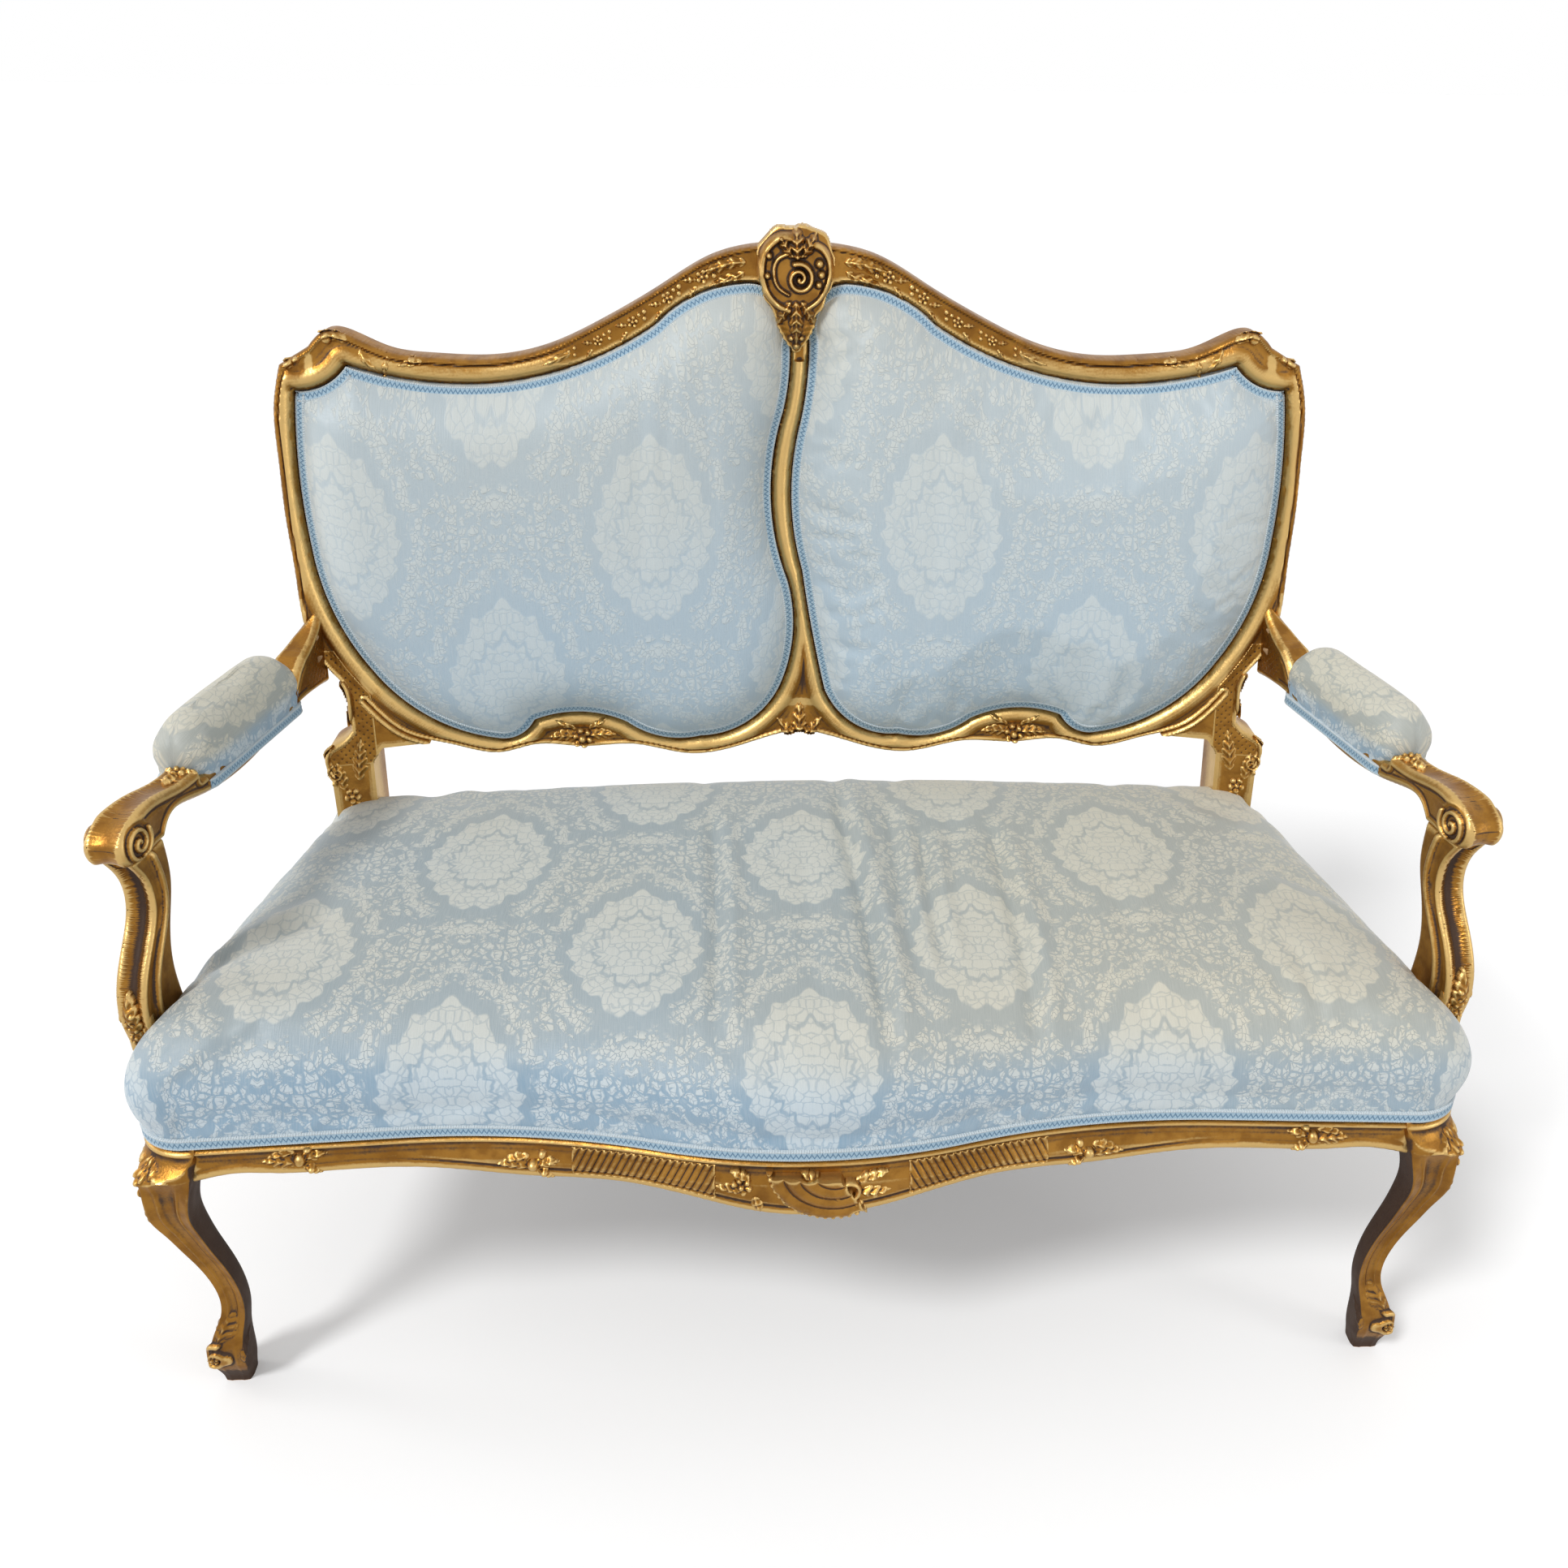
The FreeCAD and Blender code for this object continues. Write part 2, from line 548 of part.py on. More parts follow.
def arm_support():
    near = side_points(SUPPORT_FRONT)
    far = side_points(SUPPORT_REAR)
    low = side_points([(SUPPORT_FRONT[-1][0], RAIL_TOP), (SUPPORT_REAR[0][0], RAIL_TOP)])
    edges = [spline(near), line(near[-1], low[0]), line(low[0], low[1]), line(low[1], far[0]), spline(far),
             line(far[-1], near[0])]
    return splayed(Part.Face(Part.Wire(edges)).extrude(V(ARM_WIDE, 0, 0)))


# Arm pad: height over its seat and how far the plan is drawn in
PAD_STEPS = [(0, 0), (12, 0), (26, -1.5), (42, 0), (54, 3), (63, 8), (69, 14), (73, 22)]
PAD_CORNER = 24.0
PAD_END_DRAW = 1.5         # the ends are drawn in more than the sides


def pad_rings(less):
    mid_y = (PAD_FRONT + PAD_REAR) / 2
    rings = []
    for rise_z, inset in PAD_STEPS:
        drawn = inset + less
        z = PAD_LOW + rise_z - less * rise_z / PAD_STEPS[-1][0]
        wide = 2 * (PAD_HALF - drawn)
        deep = PAD_REAR - PAD_FRONT - 2 * drawn * PAD_END_DRAW
        rings.append(rounded(PAD_MID, mid_y, z, wide, deep, min(PAD_CORNER, wide / 2 - 1)))
    return rings


def arm_upholstery(arm_wood):
    core = splayed(solid_of(pad_rings(COVER_THICK)))
    whole = splayed(solid_of(pad_rings(0.0)))
    cover = splayed(skin(pad_rings(0.0), pad_rings(COVER_THICK))).cut(arm_wood)
    mid_y = (PAD_FRONT + PAD_REAR) / 2
    wide = 2 * (PAD_HALF + GIMP_THICK)
    deep = PAD_REAR - PAD_FRONT + 2 * GIMP_THICK
    band = Part.Face(rounded(PAD_MID, mid_y, PAD_LOW, wide, deep, PAD_CORNER + GIMP_THICK))
    braid = splayed(band.extrude(V(0, 0, GIMP_WIDE))).cut(whole).cut(arm_wood)
    return core.cut(arm_wood), cover, braid


# Carved shells, as rounded reliefs of their outlines
def relief(outline, mid, y_of, steps):
    """Domed relief: the outline is drawn in step by step as it comes forward."""
    rings = []
    for scale, forward in steps:
        points = []
        for x, z in outline:
            sx = mid[0] + (x - mid[0]) * scale
            sz = mid[1] + (z - mid[1]) * scale
            points.append(V(sx, y_of - forward + rise(sz) - rise(mid[1]), sz))
        rings.append(Part.Wire(arcs(points + [points[0]])))
    return Part.makeLoft(rings, True, False)


CARTOUCHE_MID = (0.0, 1020.0)
CARTOUCHE = [(0, CREST_TOP), (30, 1072), (44, 1044), (38, 1012), (24, 988), (13, 962), (0, 948),
             (-13, 962), (-24, 988), (-38, 1012), (-44, 1044), (-30, 1072)]
SHELL = [(-6, 312), (36, 308), (58, 290), (42, 268), (-6, 252), (-54, 268), (-70, 290), (-48, 308)]
RELIEF_STEPS = [(1.0, 0), (0.96, 8), (0.8, 17), (0.5, 22)]
RELIEF_SET = 6.0           # carvings start this far inside the wood behind them
SHELL_Z = 284.0
SHELL_DEPTH = 0.8          # the shell is this share as deep as the cartouche


def crest_cartouche(crest, stile):
    face = back_y(0, CARTOUCHE_MID[1]) - BACK_PROUD
    body = relief(CARTOUCHE, CARTOUCHE_MID, face + RELIEF_SET, RELIEF_STEPS)
    return body.cut(crest).cut(stile)


def apron_shell(rail):
    rings = []
    for scale, forward in RELIEF_STEPS:
        y = BOW_Y + RELIEF_SET - forward * SHELL_DEPTH
        points = [V(x * scale, y, SHELL_Z + (z - SHELL_Z) * scale) for x, z in SHELL]
        rings.append(Part.Wire(arcs(points + [points[0]])))
    return Part.makeLoft(rings, True, False).cut(rail)


# Pieces under the seat
def corner_block(x, y, leg, toward, others):
    """Block with a right angle at (x, y), trimmed by the pieces it is glued to."""
    low = RAIL_LOW + CORNER_LOW
    plan = [V(x, y, low), V(x, y + toward * leg, low), V(x - leg, y, low), V(x, y, low)]
    block = Part.Face(Part.makePolygon(plan)).extrude(V(0, 0, RAIL_TOP - CORNER_HIGH - low))
    for other in others:
        block = block.cut(other)
    return block


def corner_places():
    """Right angles of the front and the rear block, and the way each opens."""
    near = (BLOCK_IN + 20, BLOCK_REAR - 22, CORNER_LEG, 1)
    far = (POST_IN + POST_WIDE - 10, POST_REAR + 20, CORNER_LEG + POST_WIDE / 2, -1)
    return near, far


def corner_blocks(nodes):
    """Glue blocks in the four corners of the seat frame."""
    near, far = corner_places()
    side = nodes["side_rail_right"]
    front_block = corner_block(*near, [nodes["front_rail"], side, nodes["front_leg_right"]])
    rear_block = corner_block(*far, [nodes["rear_rail"], side, nodes["rear_leg_right"]])
    return [front_block, rear_block, mirrored(front_block), mirrored(rear_block)]


def screw(x, y, z, dx, dy):
    """Countersunk screw: head at the given point, shank along (dx, dy)."""
    way = V(dx, dy, 0)
    head = Part.makeCone(SCREW_HEAD, SCREW_RADIUS, SCREW_HEAD, V(x, y, z), way)
    start = V(x, y, z) + way.normalize() * SCREW_HEAD
    return head.fuse(Part.makeCylinder(SCREW_RADIUS, SCREW_LONG - SCREW_HEAD, start, way))


def block_screws():
    """Two screws through each block, one into each rail."""
    z = (RAIL_LOW + CORNER_LOW + RAIL_TOP - CORNER_HIGH) / 2
    right = []
    for x, y, leg, toward in corner_places():
        along = leg / 2 - SCREW_HEAD
        right.append(screw(x - along, y + toward * leg / 2, z + SCREW_SPREAD, 1, 0))
        right.append(screw(x - leg / 2, y + toward * along, z - SCREW_SPREAD, 0, -toward))
    return right + [mirrored(piece) for piece in right]


def brace(nodes):
    """Flat bearer from the front rail to the rear rail."""
    low = RAIL_LOW + BRACE_DROP
    start = BOW_Y + RAIL_THICK / 2
    end = SEAT_REAR_Y + SEAT_REAR_SAG - RAIL_THICK / 2
    body = box(-BRACE_WIDE / 2, BRACE_WIDE / 2, start, end, low, low + BRACE_THICK)
    return body.cut(nodes["front_rail"]).cut(nodes["rear_rail"])


def strips(count, start, end, along_x, low):
    """Webbing strips spread evenly between two places, longer than the frame."""
    pieces = []
    pitch = (end - start) / count
    for i in range(count):
        near = start + pitch * (i + 0.5) - WEB_WIDE / 2
        far = near + WEB_WIDE
        if along_x:
            pieces.append(box(-FAR, FAR, near, far, low, low + WEB_THICK))
        else:
            pieces.append(box(near, far, -FAR, FAR, low, low + WEB_THICK))
    return pieces


def under_frame(inset, low, high):
    """Plan of the seat frame between two heights, clear of the legs."""
    plan = seat_prism(inset, low, high)
    legs = box(BLOCK_IN, FAR, -FAR, BLOCK_REAR, low, high)
    posts = box(POST_IN, FAR, POST_REAR - 30, FAR, low, high)
    for piece in (legs, posts):
        plan = plan.cut(piece).cut(mirrored(piece))
    return plan


def webbing():
    """Strips along the seat, with strips across it laid under them."""
    inside = under_frame(RAIL_BACKSET + RAIL_THICK / 2, RAIL_LOW - 2 * WEB_THICK, RAIL_LOW)
    half = SEAT_REAR_HALF - RAIL_THICK / 2
    upper = strips(WEB_LONG_COUNT, RAIL_THICK * 1.6, SEAT_REAR_Y, True, RAIL_LOW - WEB_THICK)
    lower = strips(WEB_CROSS_COUNT, -half, half, False, RAIL_LOW - 2 * WEB_THICK)
    return [piece.common(inside) for piece in upper + lower]


def spring():
    """Waisted spring as a thin body of revolution of its own outline."""
    low = RAIL_LOW + GAP
    high = RAIL_TOP - GAP
    mid = (low + high) / 2
    outer = Part.Arc(V(SPRING_RADIUS, 0, low), V(SPRING_WAIST, 0, mid), V(SPRING_RADIUS, 0, high)).toShape()
    a = V(SPRING_RADIUS - SPRING_WIRE, 0, low)
    b = V(SPRING_WAIST - SPRING_WIRE, 0, mid)
    c = V(SPRING_RADIUS - SPRING_WIRE, 0, high)
    inner = Part.Arc(c, b, a).toShape()
    wire = Part.Wire([outer, line(V(SPRING_RADIUS, 0, high), c), inner, line(a, V(SPRING_RADIUS, 0, low))])
    return Part.Face(wire).revolve(V(0, 0, 0), V(0, 0, 1), 360)


def springs():
    """Springs in rows that keep clear of the rails and of the middle bearer."""
    one = spring()
    pieces = []
    pitch_x = 2 * (SEAT_REAR_HALF - SPRING_EDGE) / SPRING_COLUMNS
    pitch_y = (SEAT_REAR_Y - 2 * SPRING_EDGE) / SPRING_ROWS
    for column in range(SPRING_COLUMNS):
        x = (column - (SPRING_COLUMNS - 1) / 2) * pitch_x
        for row in range(SPRING_ROWS):
            copy = one.copy()
            copy.translate(V(x, SEAT_MID_Y + (row - (SPRING_ROWS - 1) / 2) * pitch_y, 0))
            pieces.append(copy)
    return pieces


def seat_upholstery(nodes):
    """Hessian, stuffing, cover and braid of the seat, cut round the posts."""
    through = [nodes[n + s] for n in ("rear_leg", "arm_support") for s in ("_right", "_left")]
    hessian = seat_prism(RAIL_BACKSET + SHEET, RAIL_TOP, RAIL_TOP + SHEET)
    above = box(-FAR, FAR, -FAR, FAR, RAIL_TOP + SHEET, FAR)
    stuffing = solid_of(seat_rings(COVER_THICK, GIMP_Z)).common(above)
    cover = skin(seat_rings(0.0, GIMP_Z), seat_rings(COVER_THICK, GIMP_Z))
    braid = seat_band(-GIMP_THICK, 0.0, GIMP_Z, GIMP_Z + GIMP_WIDE)
    for piece in through:
        hessian = hessian.cut(piece)
        stuffing = stuffing.cut(piece)
        cover = cover.cut(piece)
    high = RAIL_LOW - 2 * WEB_THICK
    dust = under_frame(RAIL_BACKSET + RAIL_THICK / 2, high - SHEET, high).cut(nodes["rear_rail"])
    return hessian, stuffing, cover, braid, dust


# Dowels: middle, direction and the two pieces that each one joins
def middle_of(a, b):
    return (a[0] + b[0]) / 2, (a[1] + b[1]) / 2


def middle_y(a, b):
    return (a[0] + b[0]) / 2


def dowel_list():
    depth = BACK_THICK / 2 - BACK_PROUD
    ear = (EAR_Z + PANEL_EAR[0][1]) / 2
    joint_x, joint_z = middle_of(BOTTOM_LINE[0], PANEL_OUTER[3])
    run_x = BOTTOM_JOINT[1] - BOTTOM_LINE[0][1]
    run_z = BOTTOM_LINE[0][0] - BOTTOM_JOINT[0]
    run_y = back_y(joint_x + run_x, joint_z + run_z) - back_y(joint_x, joint_z)
    knuckle = splayed(Part.Vertex(V(ARM_WIDE / 2, middle_y(SUPPORT_FRONT[0], SUPPORT_REAR[-1]), ARM_JOINT))).Point
    foot = splayed(Part.Vertex(V(0, middle_y(SUPPORT_FRONT[-1], SUPPORT_REAR[0]), RAIL_TOP))).Point
    inset = RAIL_BACKSET + RAIL_THICK / 2
    rail_x = SEAT_HALF - inset
    rail_y = seat_front(inset)[-1][1]
    post_x = POST_IN + POST_WIDE - 2 * DOWEL_RADIUS
    low = RAIL_LOW + DOWEL_FROM_EDGE
    high = RAIL_TOP - DOWEL_FROM_EDGE
    rows = [
        (V(EAR_X, back_y(EAR_X, ear) + depth, ear), V(1, 0, 0), "crest_rail", "rear_leg_right"),
        (V(joint_x, back_y(joint_x, joint_z) + depth, joint_z), V(run_x, run_y, run_z),
         "bottom_rail_right", "rear_leg_right"),
        (knuckle, V(0, 0, 1), "arm_right", "arm_support_right"),
        (V(rail_x, foot.y, RAIL_TOP), V(0, 0, 1), "arm_support_right", "side_rail_right"),
        (V(POST_IN, POST_REAR + 2 * DOWEL_RADIUS, (low + high) / 2), V(1, 0, 0), "rear_rail", "rear_leg_right"),
        (V(post_x, REAR_FOOT[0][2] - REAR_FOOT[0][4] / 2, (low + high) / 2), V(0, 1, 0),
         "side_rail_right", "rear_leg_right"),
    ]
    for z in (low, high):
        rows.append((V(BLOCK_IN, rail_y, z), V(1, 0, 0), "front_rail", "front_leg_right"))
        rows.append((V(rail_x, BLOCK_REAR, z), V(0, 1, 0), "side_rail_right", "front_leg_right"))
    return rows


def arm_dowels():
    """Two short dowels from each arm into its stile."""
    rows = []
    for z in ARM_DOWEL_Z:
        x = ARM_IN_X + 2 * SMALL_RADIUS
        rows.append((V(x, back_y(x, z) - BACK_PROUD, z), V(0, 1, 0), "arm_right", "rear_leg_right"))
    return rows


def fit_dowels(nodes):
    """Bore each pair of pieces for its dowel and return all the dowels."""
    pieces = []
    foot = V(STILE_DOWEL_X, back_y(STILE_DOWEL_X, STILE_FOOT) + BACK_THICK / 2 - BACK_PROUD, STILE_FOOT)
    small = arm_dowels() + [(foot, V(0, 0, 1), "centre_stile", "bottom_rail_right")]
    for rows, radius, long in ((dowel_list(), DOWEL_RADIUS, DOWEL_LONG), (small, SMALL_RADIUS, SMALL_LONG)):
        for middle, way, first, second in rows:
            way = V(way.x, way.y, way.z).normalize()
            peg = Part.makeCylinder(radius, long, middle - way * (long / 2), way)
            for piece, old in ((peg, "right"), (mirrored(peg), "left")):
                for name in (first, second):
                    name = name.replace("right", old)
                    nodes[name] = nodes[name].cut(piece)
                pieces.append(piece)
    return pieces


def build():
    nodes = {}
    openings = [panel_opening(1), panel_opening(-1)]
    nodes["crest_rail"] = crest_rail(openings)
    nodes["centre_stile"] = centre_stile(openings)
    nodes["bottom_rail_right"] = bottom_rail(1, openings[0])
    nodes["bottom_rail_left"] = bottom_rail(-1, openings[1])
    leg = rear_leg(openings[0], nodes["bottom_rail_right"])
    nodes["rear_leg_right"] = leg
    nodes["rear_leg_left"] = mirrored(leg)
    nodes["arm_right"] = arm(leg)
    nodes["arm_left"] = mirrored(nodes["arm_right"])
    nodes["arm_support_right"] = arm_support()
    nodes["arm_support_left"] = mirrored(nodes["arm_support_right"])
    nodes["front_rail"] = front_rail()
    nodes["side_rail_right"] = side_rail(leg)
    nodes["side_rail_left"] = mirrored(nodes["side_rail_right"])
    nodes["rear_rail"] = rear_rail(leg)
    nodes["front_leg_right"] = front_leg()
    nodes["front_leg_left"] = mirrored(nodes["front_leg_right"])
    nodes["crest_cartouche"] = crest_cartouche(nodes["crest_rail"], nodes["centre_stile"])
    nodes["apron_shell"] = apron_shell(nodes["front_rail"])
    for side, name in ((1, "right"), (-1, "left")):
        inside, stuffing, cover, braid, outside = back_upholstery(side)
        nodes["back_hessian_" + name] = inside
        nodes["back_stuffing_" + name] = stuffing
        nodes["back_cover_" + name] = cover
        nodes["back_gimp_" + name] = braid
        nodes["outside_back_" + name] = outside
    stuffing, cover, braid = arm_upholstery(nodes["arm_right"])
    nodes["arm_pad_right"] = stuffing
    nodes["arm_cover_right"] = cover
    nodes["arm_gimp_right"] = braid
    for piece in ("arm_pad", "arm_cover", "arm_gimp"):
        nodes[piece + "_left"] = mirrored(nodes[piece + "_right"])
    hessian, stuffing, cover, braid, dust = seat_upholstery(nodes)
    nodes["seat_hessian"] = hessian
    nodes["seat_stuffing"] = stuffing
    nodes["seat_cover"] = cover
    nodes["seat_gimp"] = braid
    nodes["dust_cover"] = dust
    nodes["seat_webbing"] = Part.makeCompound(webbing())
    nodes["seat_springs"] = Part.makeCompound(springs())
    nodes["seat_brace"] = brace(nodes)
    blocks = corner_blocks(nodes)
    nodes["dowels"] = Part.makeCompound(fit_dowels(nodes))
    screws = block_screws()
    for piece in screws:
        blocks = [block.cut(piece) for block in blocks]
        for name in ("front_rail", "rear_rail", "side_rail_right", "side_rail_left"):
            nodes[name] = nodes[name].cut(piece)
    nodes["corner_blocks"] = Part.makeCompound(blocks)
    nodes["block_screws"] = Part.makeCompound(screws)
    return nodes


def origin_shift(nodes):
    """Move that brings the middle of the footprint on the floor to the origin."""
    whole = FreeCAD.BoundBox()
    for shape in nodes.values():
        whole.add(shape.optimalBoundingBox(False, False))
    return V(-(whole.XMin + whole.XMax) / 2, -(whole.YMin + whole.YMax) / 2, -whole.ZMin)


def main():
    os.makedirs("parts", exist_ok=True)
    nodes = build()
    shift = origin_shift(nodes)
    print("origin shift", shift)
    for name, shape in nodes.items():
        shape.translate(shift)
        shape.exportStep("parts/" + name + ".step")
        print(name, round(shape.Volume / 1000.0, 1), "cm3", len(shape.Solids), shape.isValid())


if __name__ == "__main__":
    main()
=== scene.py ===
import bpy
import math
import numpy as np
from mathutils import Matrix, Vector, kdtree


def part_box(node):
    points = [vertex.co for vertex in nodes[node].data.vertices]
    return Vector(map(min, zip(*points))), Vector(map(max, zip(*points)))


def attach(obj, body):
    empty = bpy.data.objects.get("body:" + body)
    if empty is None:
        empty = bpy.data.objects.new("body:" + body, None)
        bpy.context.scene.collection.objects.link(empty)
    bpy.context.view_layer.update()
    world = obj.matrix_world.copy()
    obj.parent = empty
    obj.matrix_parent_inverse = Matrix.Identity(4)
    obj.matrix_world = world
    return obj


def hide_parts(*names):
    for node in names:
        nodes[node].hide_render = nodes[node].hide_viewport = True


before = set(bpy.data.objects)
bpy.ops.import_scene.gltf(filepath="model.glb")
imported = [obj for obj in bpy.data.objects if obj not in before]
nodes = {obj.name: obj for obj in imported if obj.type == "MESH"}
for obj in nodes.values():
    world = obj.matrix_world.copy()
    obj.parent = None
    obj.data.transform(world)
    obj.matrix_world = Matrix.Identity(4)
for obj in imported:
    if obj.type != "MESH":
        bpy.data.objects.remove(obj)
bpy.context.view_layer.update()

# Design millimetres, as in the part: Y = 0 at the front of the seat.
SHIFT_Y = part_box("seat_gimp")[0].y * 1000.0 + 5.0
SIDES = ((1, "right"), (-1, "left"))
TAN_RAKE = math.tan(math.radians(11.0))
PLAN_R = 3000.0                    # curve of the back in plan
BACK_Y, BACK_Z = 560.0, 510.0      # foot of the back's middle plane
PROUD = 8.0                        # frame before that plane
THICK = 32.0
SEAT_HALF, SEAT_MID = 650.0, 300.0
RAIL_LOW, RAIL_TOP = 290.4, 330.0


def back_y(x, z):
    return BACK_Y + (z - BACK_Z) * TAN_RAKE - (PLAN_R - np.sqrt(PLAN_R ** 2 - x * x))


def cols(*parts):
    """Points from their coordinates."""
    return np.stack(parts, 1)


def run(p):
    """Length along a polyline at each of its points."""
    return np.concatenate([[0], np.cumsum(np.linalg.norm(np.diff(p, axis=0), axis=1))])


def unit(v):
    return v / np.maximum(np.linalg.norm(v, axis=1), 1e-9)[:, None]


def right_of(t):
    """Directions turned a quarter to the right."""
    return cols(t[:, 1], -t[:, 0])


def closed(p):
    return np.vstack([p, p[:1]])


def bell(x, width):
    return np.exp(-(x / width) ** 2)


def span(side, a, b):
    """Ends of a stretch in X, mirrored for the left."""
    return sorted((side * a, side * b))


# Curves
def arc_points(a, b, c, step):
    """Arc through three points, or a straight line where they lie on one."""
    a, b, c = (np.array(p, float) for p in (a, b, c))
    cross = (b[0] - a[0]) * (c[1] - a[1]) - (b[1] - a[1]) * (c[0] - a[0])
    if abs(cross) < 1e-6:
        n = max(2, int(np.linalg.norm(c - a) / step) + 1)
        return a + np.linspace(0, 1, n)[:, None] * (c - a)
    d = 2 * (a[0] * (b[1] - c[1]) + b[0] * (c[1] - a[1]) + c[0] * (a[1] - b[1]))
    ux = ((a @ a) * (b[1] - c[1]) + (b @ b) * (c[1] - a[1]) + (c @ c) * (a[1] - b[1])) / d
    uy = ((a @ a) * (c[0] - b[0]) + (b @ b) * (a[0] - c[0]) + (c @ c) * (b[0] - a[0])) / d
    o = np.array([ux, uy])
    r = np.linalg.norm(a - o)
    t0, t2 = (math.atan2(*(p - o)[::-1]) for p in (a, c))
    turn = 2 * math.pi
    if cross > 0:
        t2 = t0 + (t2 - t0) % turn
    else:
        t2 = t0 - (t0 - t2) % turn
    n = max(3, int(abs(t2 - t0) * r / step) + 1)
    t = np.linspace(t0, t2, n)
    return o + r * cols(np.cos(t), np.sin(t))


def arcs(points):
    """Polyline through arcs of three points each, the last point of one being the first of the next."""
    out = []
    for i in range(0, len(points) - 2, 2):
        p = arc_points(points[i], points[i + 1], points[i + 2], 1.0)
        out.append(p if not out else p[1:])
    return np.vstack(out)


def spline(points, step=1.0):
    """Natural cubic through the points, by chord length."""
    p = np.array(points, float)
    s = run(p)
    n = len(p)
    h = np.diff(s)
    a = np.zeros((n, n))
    r = np.zeros((n, p.shape[1]))
    a[0, 0] = a[-1, -1] = 1
    for i in range(1, n - 1):
        a[i, i - 1:i + 2] = h[i - 1], 2 * (h[i - 1] + h[i]), h[i]
        r[i] = 6 * ((p[i + 1] - p[i]) / h[i] - (p[i] - p[i - 1]) / h[i - 1])
    m = np.linalg.solve(a, r)
    t = np.linspace(0, s[-1], max(3, int(s[-1] / step) + 1))
    k = np.clip(np.searchsorted(s, t, side="right") - 1, 0, n - 2)
    hk = h[k][:, None]
    u = (s[k + 1] - t)[:, None]
    v = (t - s[k])[:, None]
    bent = (m[k] * u ** 3 + m[k + 1] * v ** 3) / (6 * hk)
    return bent + (p[k] / hk - m[k] * hk / 6) * u + (p[k + 1] / hk - m[k + 1] * hk / 6) * v


def even(points, step):
    """The same polyline with even spacing."""
    p = np.array(points, float)
    s = run(p)
    t = np.linspace(0, s[-1], max(2, int(round(s[-1] / step)) + 1))
    return cols(*(np.interp(t, s, p[:, k]) for k in range(p.shape[1])))


class Near:
    """Distance from points to densely sampled curves."""
    def __init__(self, curves, step=0.8):
        pts = np.vstack([even(c, step) for c in curves])
        self.pts = pts
        self.tree = kdtree.KDTree(len(pts))
        for i, p in enumerate(pts):
            self.tree.insert((p[0], p[1], 0.0), i)
        self.tree.balance()

    def find(self, p):
        idx = np.empty(len(p), int)
        dist = np.empty(len(p))
        find = self.tree.find
        for i, (x, y) in enumerate(p.tolist()):
            _, k, d = find((x, y, 0.0))
            idx[i] = k
            dist[i] = d
        return idx, dist

    def distance(self, x, z):
        return self.find(cols(x, z))[1]


# Meshes
def pairs_mean(v, edges, rounds):
    """Mean of the neighbours, taken a number of times."""
    n = len(v)
    i, j = edges[:, 0], edges[:, 1]
    count = np.maximum(np.bincount(i, minlength=n) + np.bincount(j, minlength=n), 1)
    for _ in range(rounds):
        v = cols(*((np.bincount(i, v[j, k], n) + np.bincount(j, v[i, k], n)) / count
                      for k in range(v.shape[1])))
    return v


def attribute(me, name, values):
    me.attributes.new(name, "FLOAT", "POINT").data.foreach_set("value", np.asarray(values, np.float32))


def loose(name, verts, faces):
    """Mesh object in metres from millimetres."""
    me = bpy.data.meshes.new(name)
    me.from_pydata((np.array(verts) * 0.001).tolist(), [], [list(f) for f in faces])
    ob = bpy.data.objects.new(name, me)
    bpy.context.scene.collection.objects.link(ob)
    return ob


def make(name, verts, faces, sharp=40, uv=None, shade=None):
    """Mesh object from design millimetres; it rides on the frame. Gilt pieces carry their patina in hollows,
    a painted highlight on ridges and any painted shade given; cloth pieces carry a tone of painted light and
    shade.
    """
    v = np.array(verts, float)
    v[:, 1] += SHIFT_Y
    ob = loose(name, v, faces)
    v *= 0.001
    me = ob.data
    me.validate()
    me.polygons.foreach_set("use_smooth", [True] * len(me.polygons))
    if sharp:
        me.set_sharp_from_angle(angle=math.radians(sharp))
    if uv is None:
        edges = np.empty(2 * len(me.edges), np.int32)
        me.edges.foreach_get("vertices", edges)
        normals = np.empty(3 * len(v))
        me.vertices.foreach_get("normal", normals)
        edges = edges.reshape(-1, 2)
        # height of each point over its near and its wider surroundings, in metres
        near, far = (np.sum((v - pairs_mean(v, edges, k)) * normals.reshape(-1, 3), 1) for k in (3, 16))
        # low in hollows for patina, high on ridges for a painted highlight; shade adds painted shade
        worn = 0.5 + np.clip(near / 0.0006, -1, 1) * 0.28 + np.clip(far / 0.0026, -1, 1) * 0.22
        attribute(me, "worn", worn + (0 if shade is None else shade))
    else:
        layer = me.uv_layers.new(name="cloth")
        loops = np.empty(len(me.loops), np.int32)
        me.loops.foreach_get("vertex_index", loops)
        layer.data.foreach_set("uv", (np.array(uv)[loops] * 0.001).ravel())
        # cloth tone of painted light and shade: 0 lit and creamy, 1 shaded and blue
        attribute(me, "tint", np.full(len(v), 0.5) if shade is None else shade)
    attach(ob, "root")
    return ob


gilt_parts = []


def gilt(ob, *swap):
    """A gilded piece, and the CAD nodes that it stands for."""
    gilt_parts.append(ob)
    if swap:
        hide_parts(*swap)


def even_odd(poly, gx, gz):
    p = np.array(poly, float)
    q = np.roll(p, -1, 0)
    out = np.zeros((len(gz), len(gx)), bool)
    for i, z in enumerate(gz):
        c = (p[:, 1] <= z) != (q[:, 1] <= z)
        xs = p[c, 0] + (z - p[c, 1]) * (q[c, 0] - p[c, 0]) / (q[c, 1] - p[c, 1])
        out[i] = np.searchsorted(np.sort(xs), gx) % 2 == 1
    return out


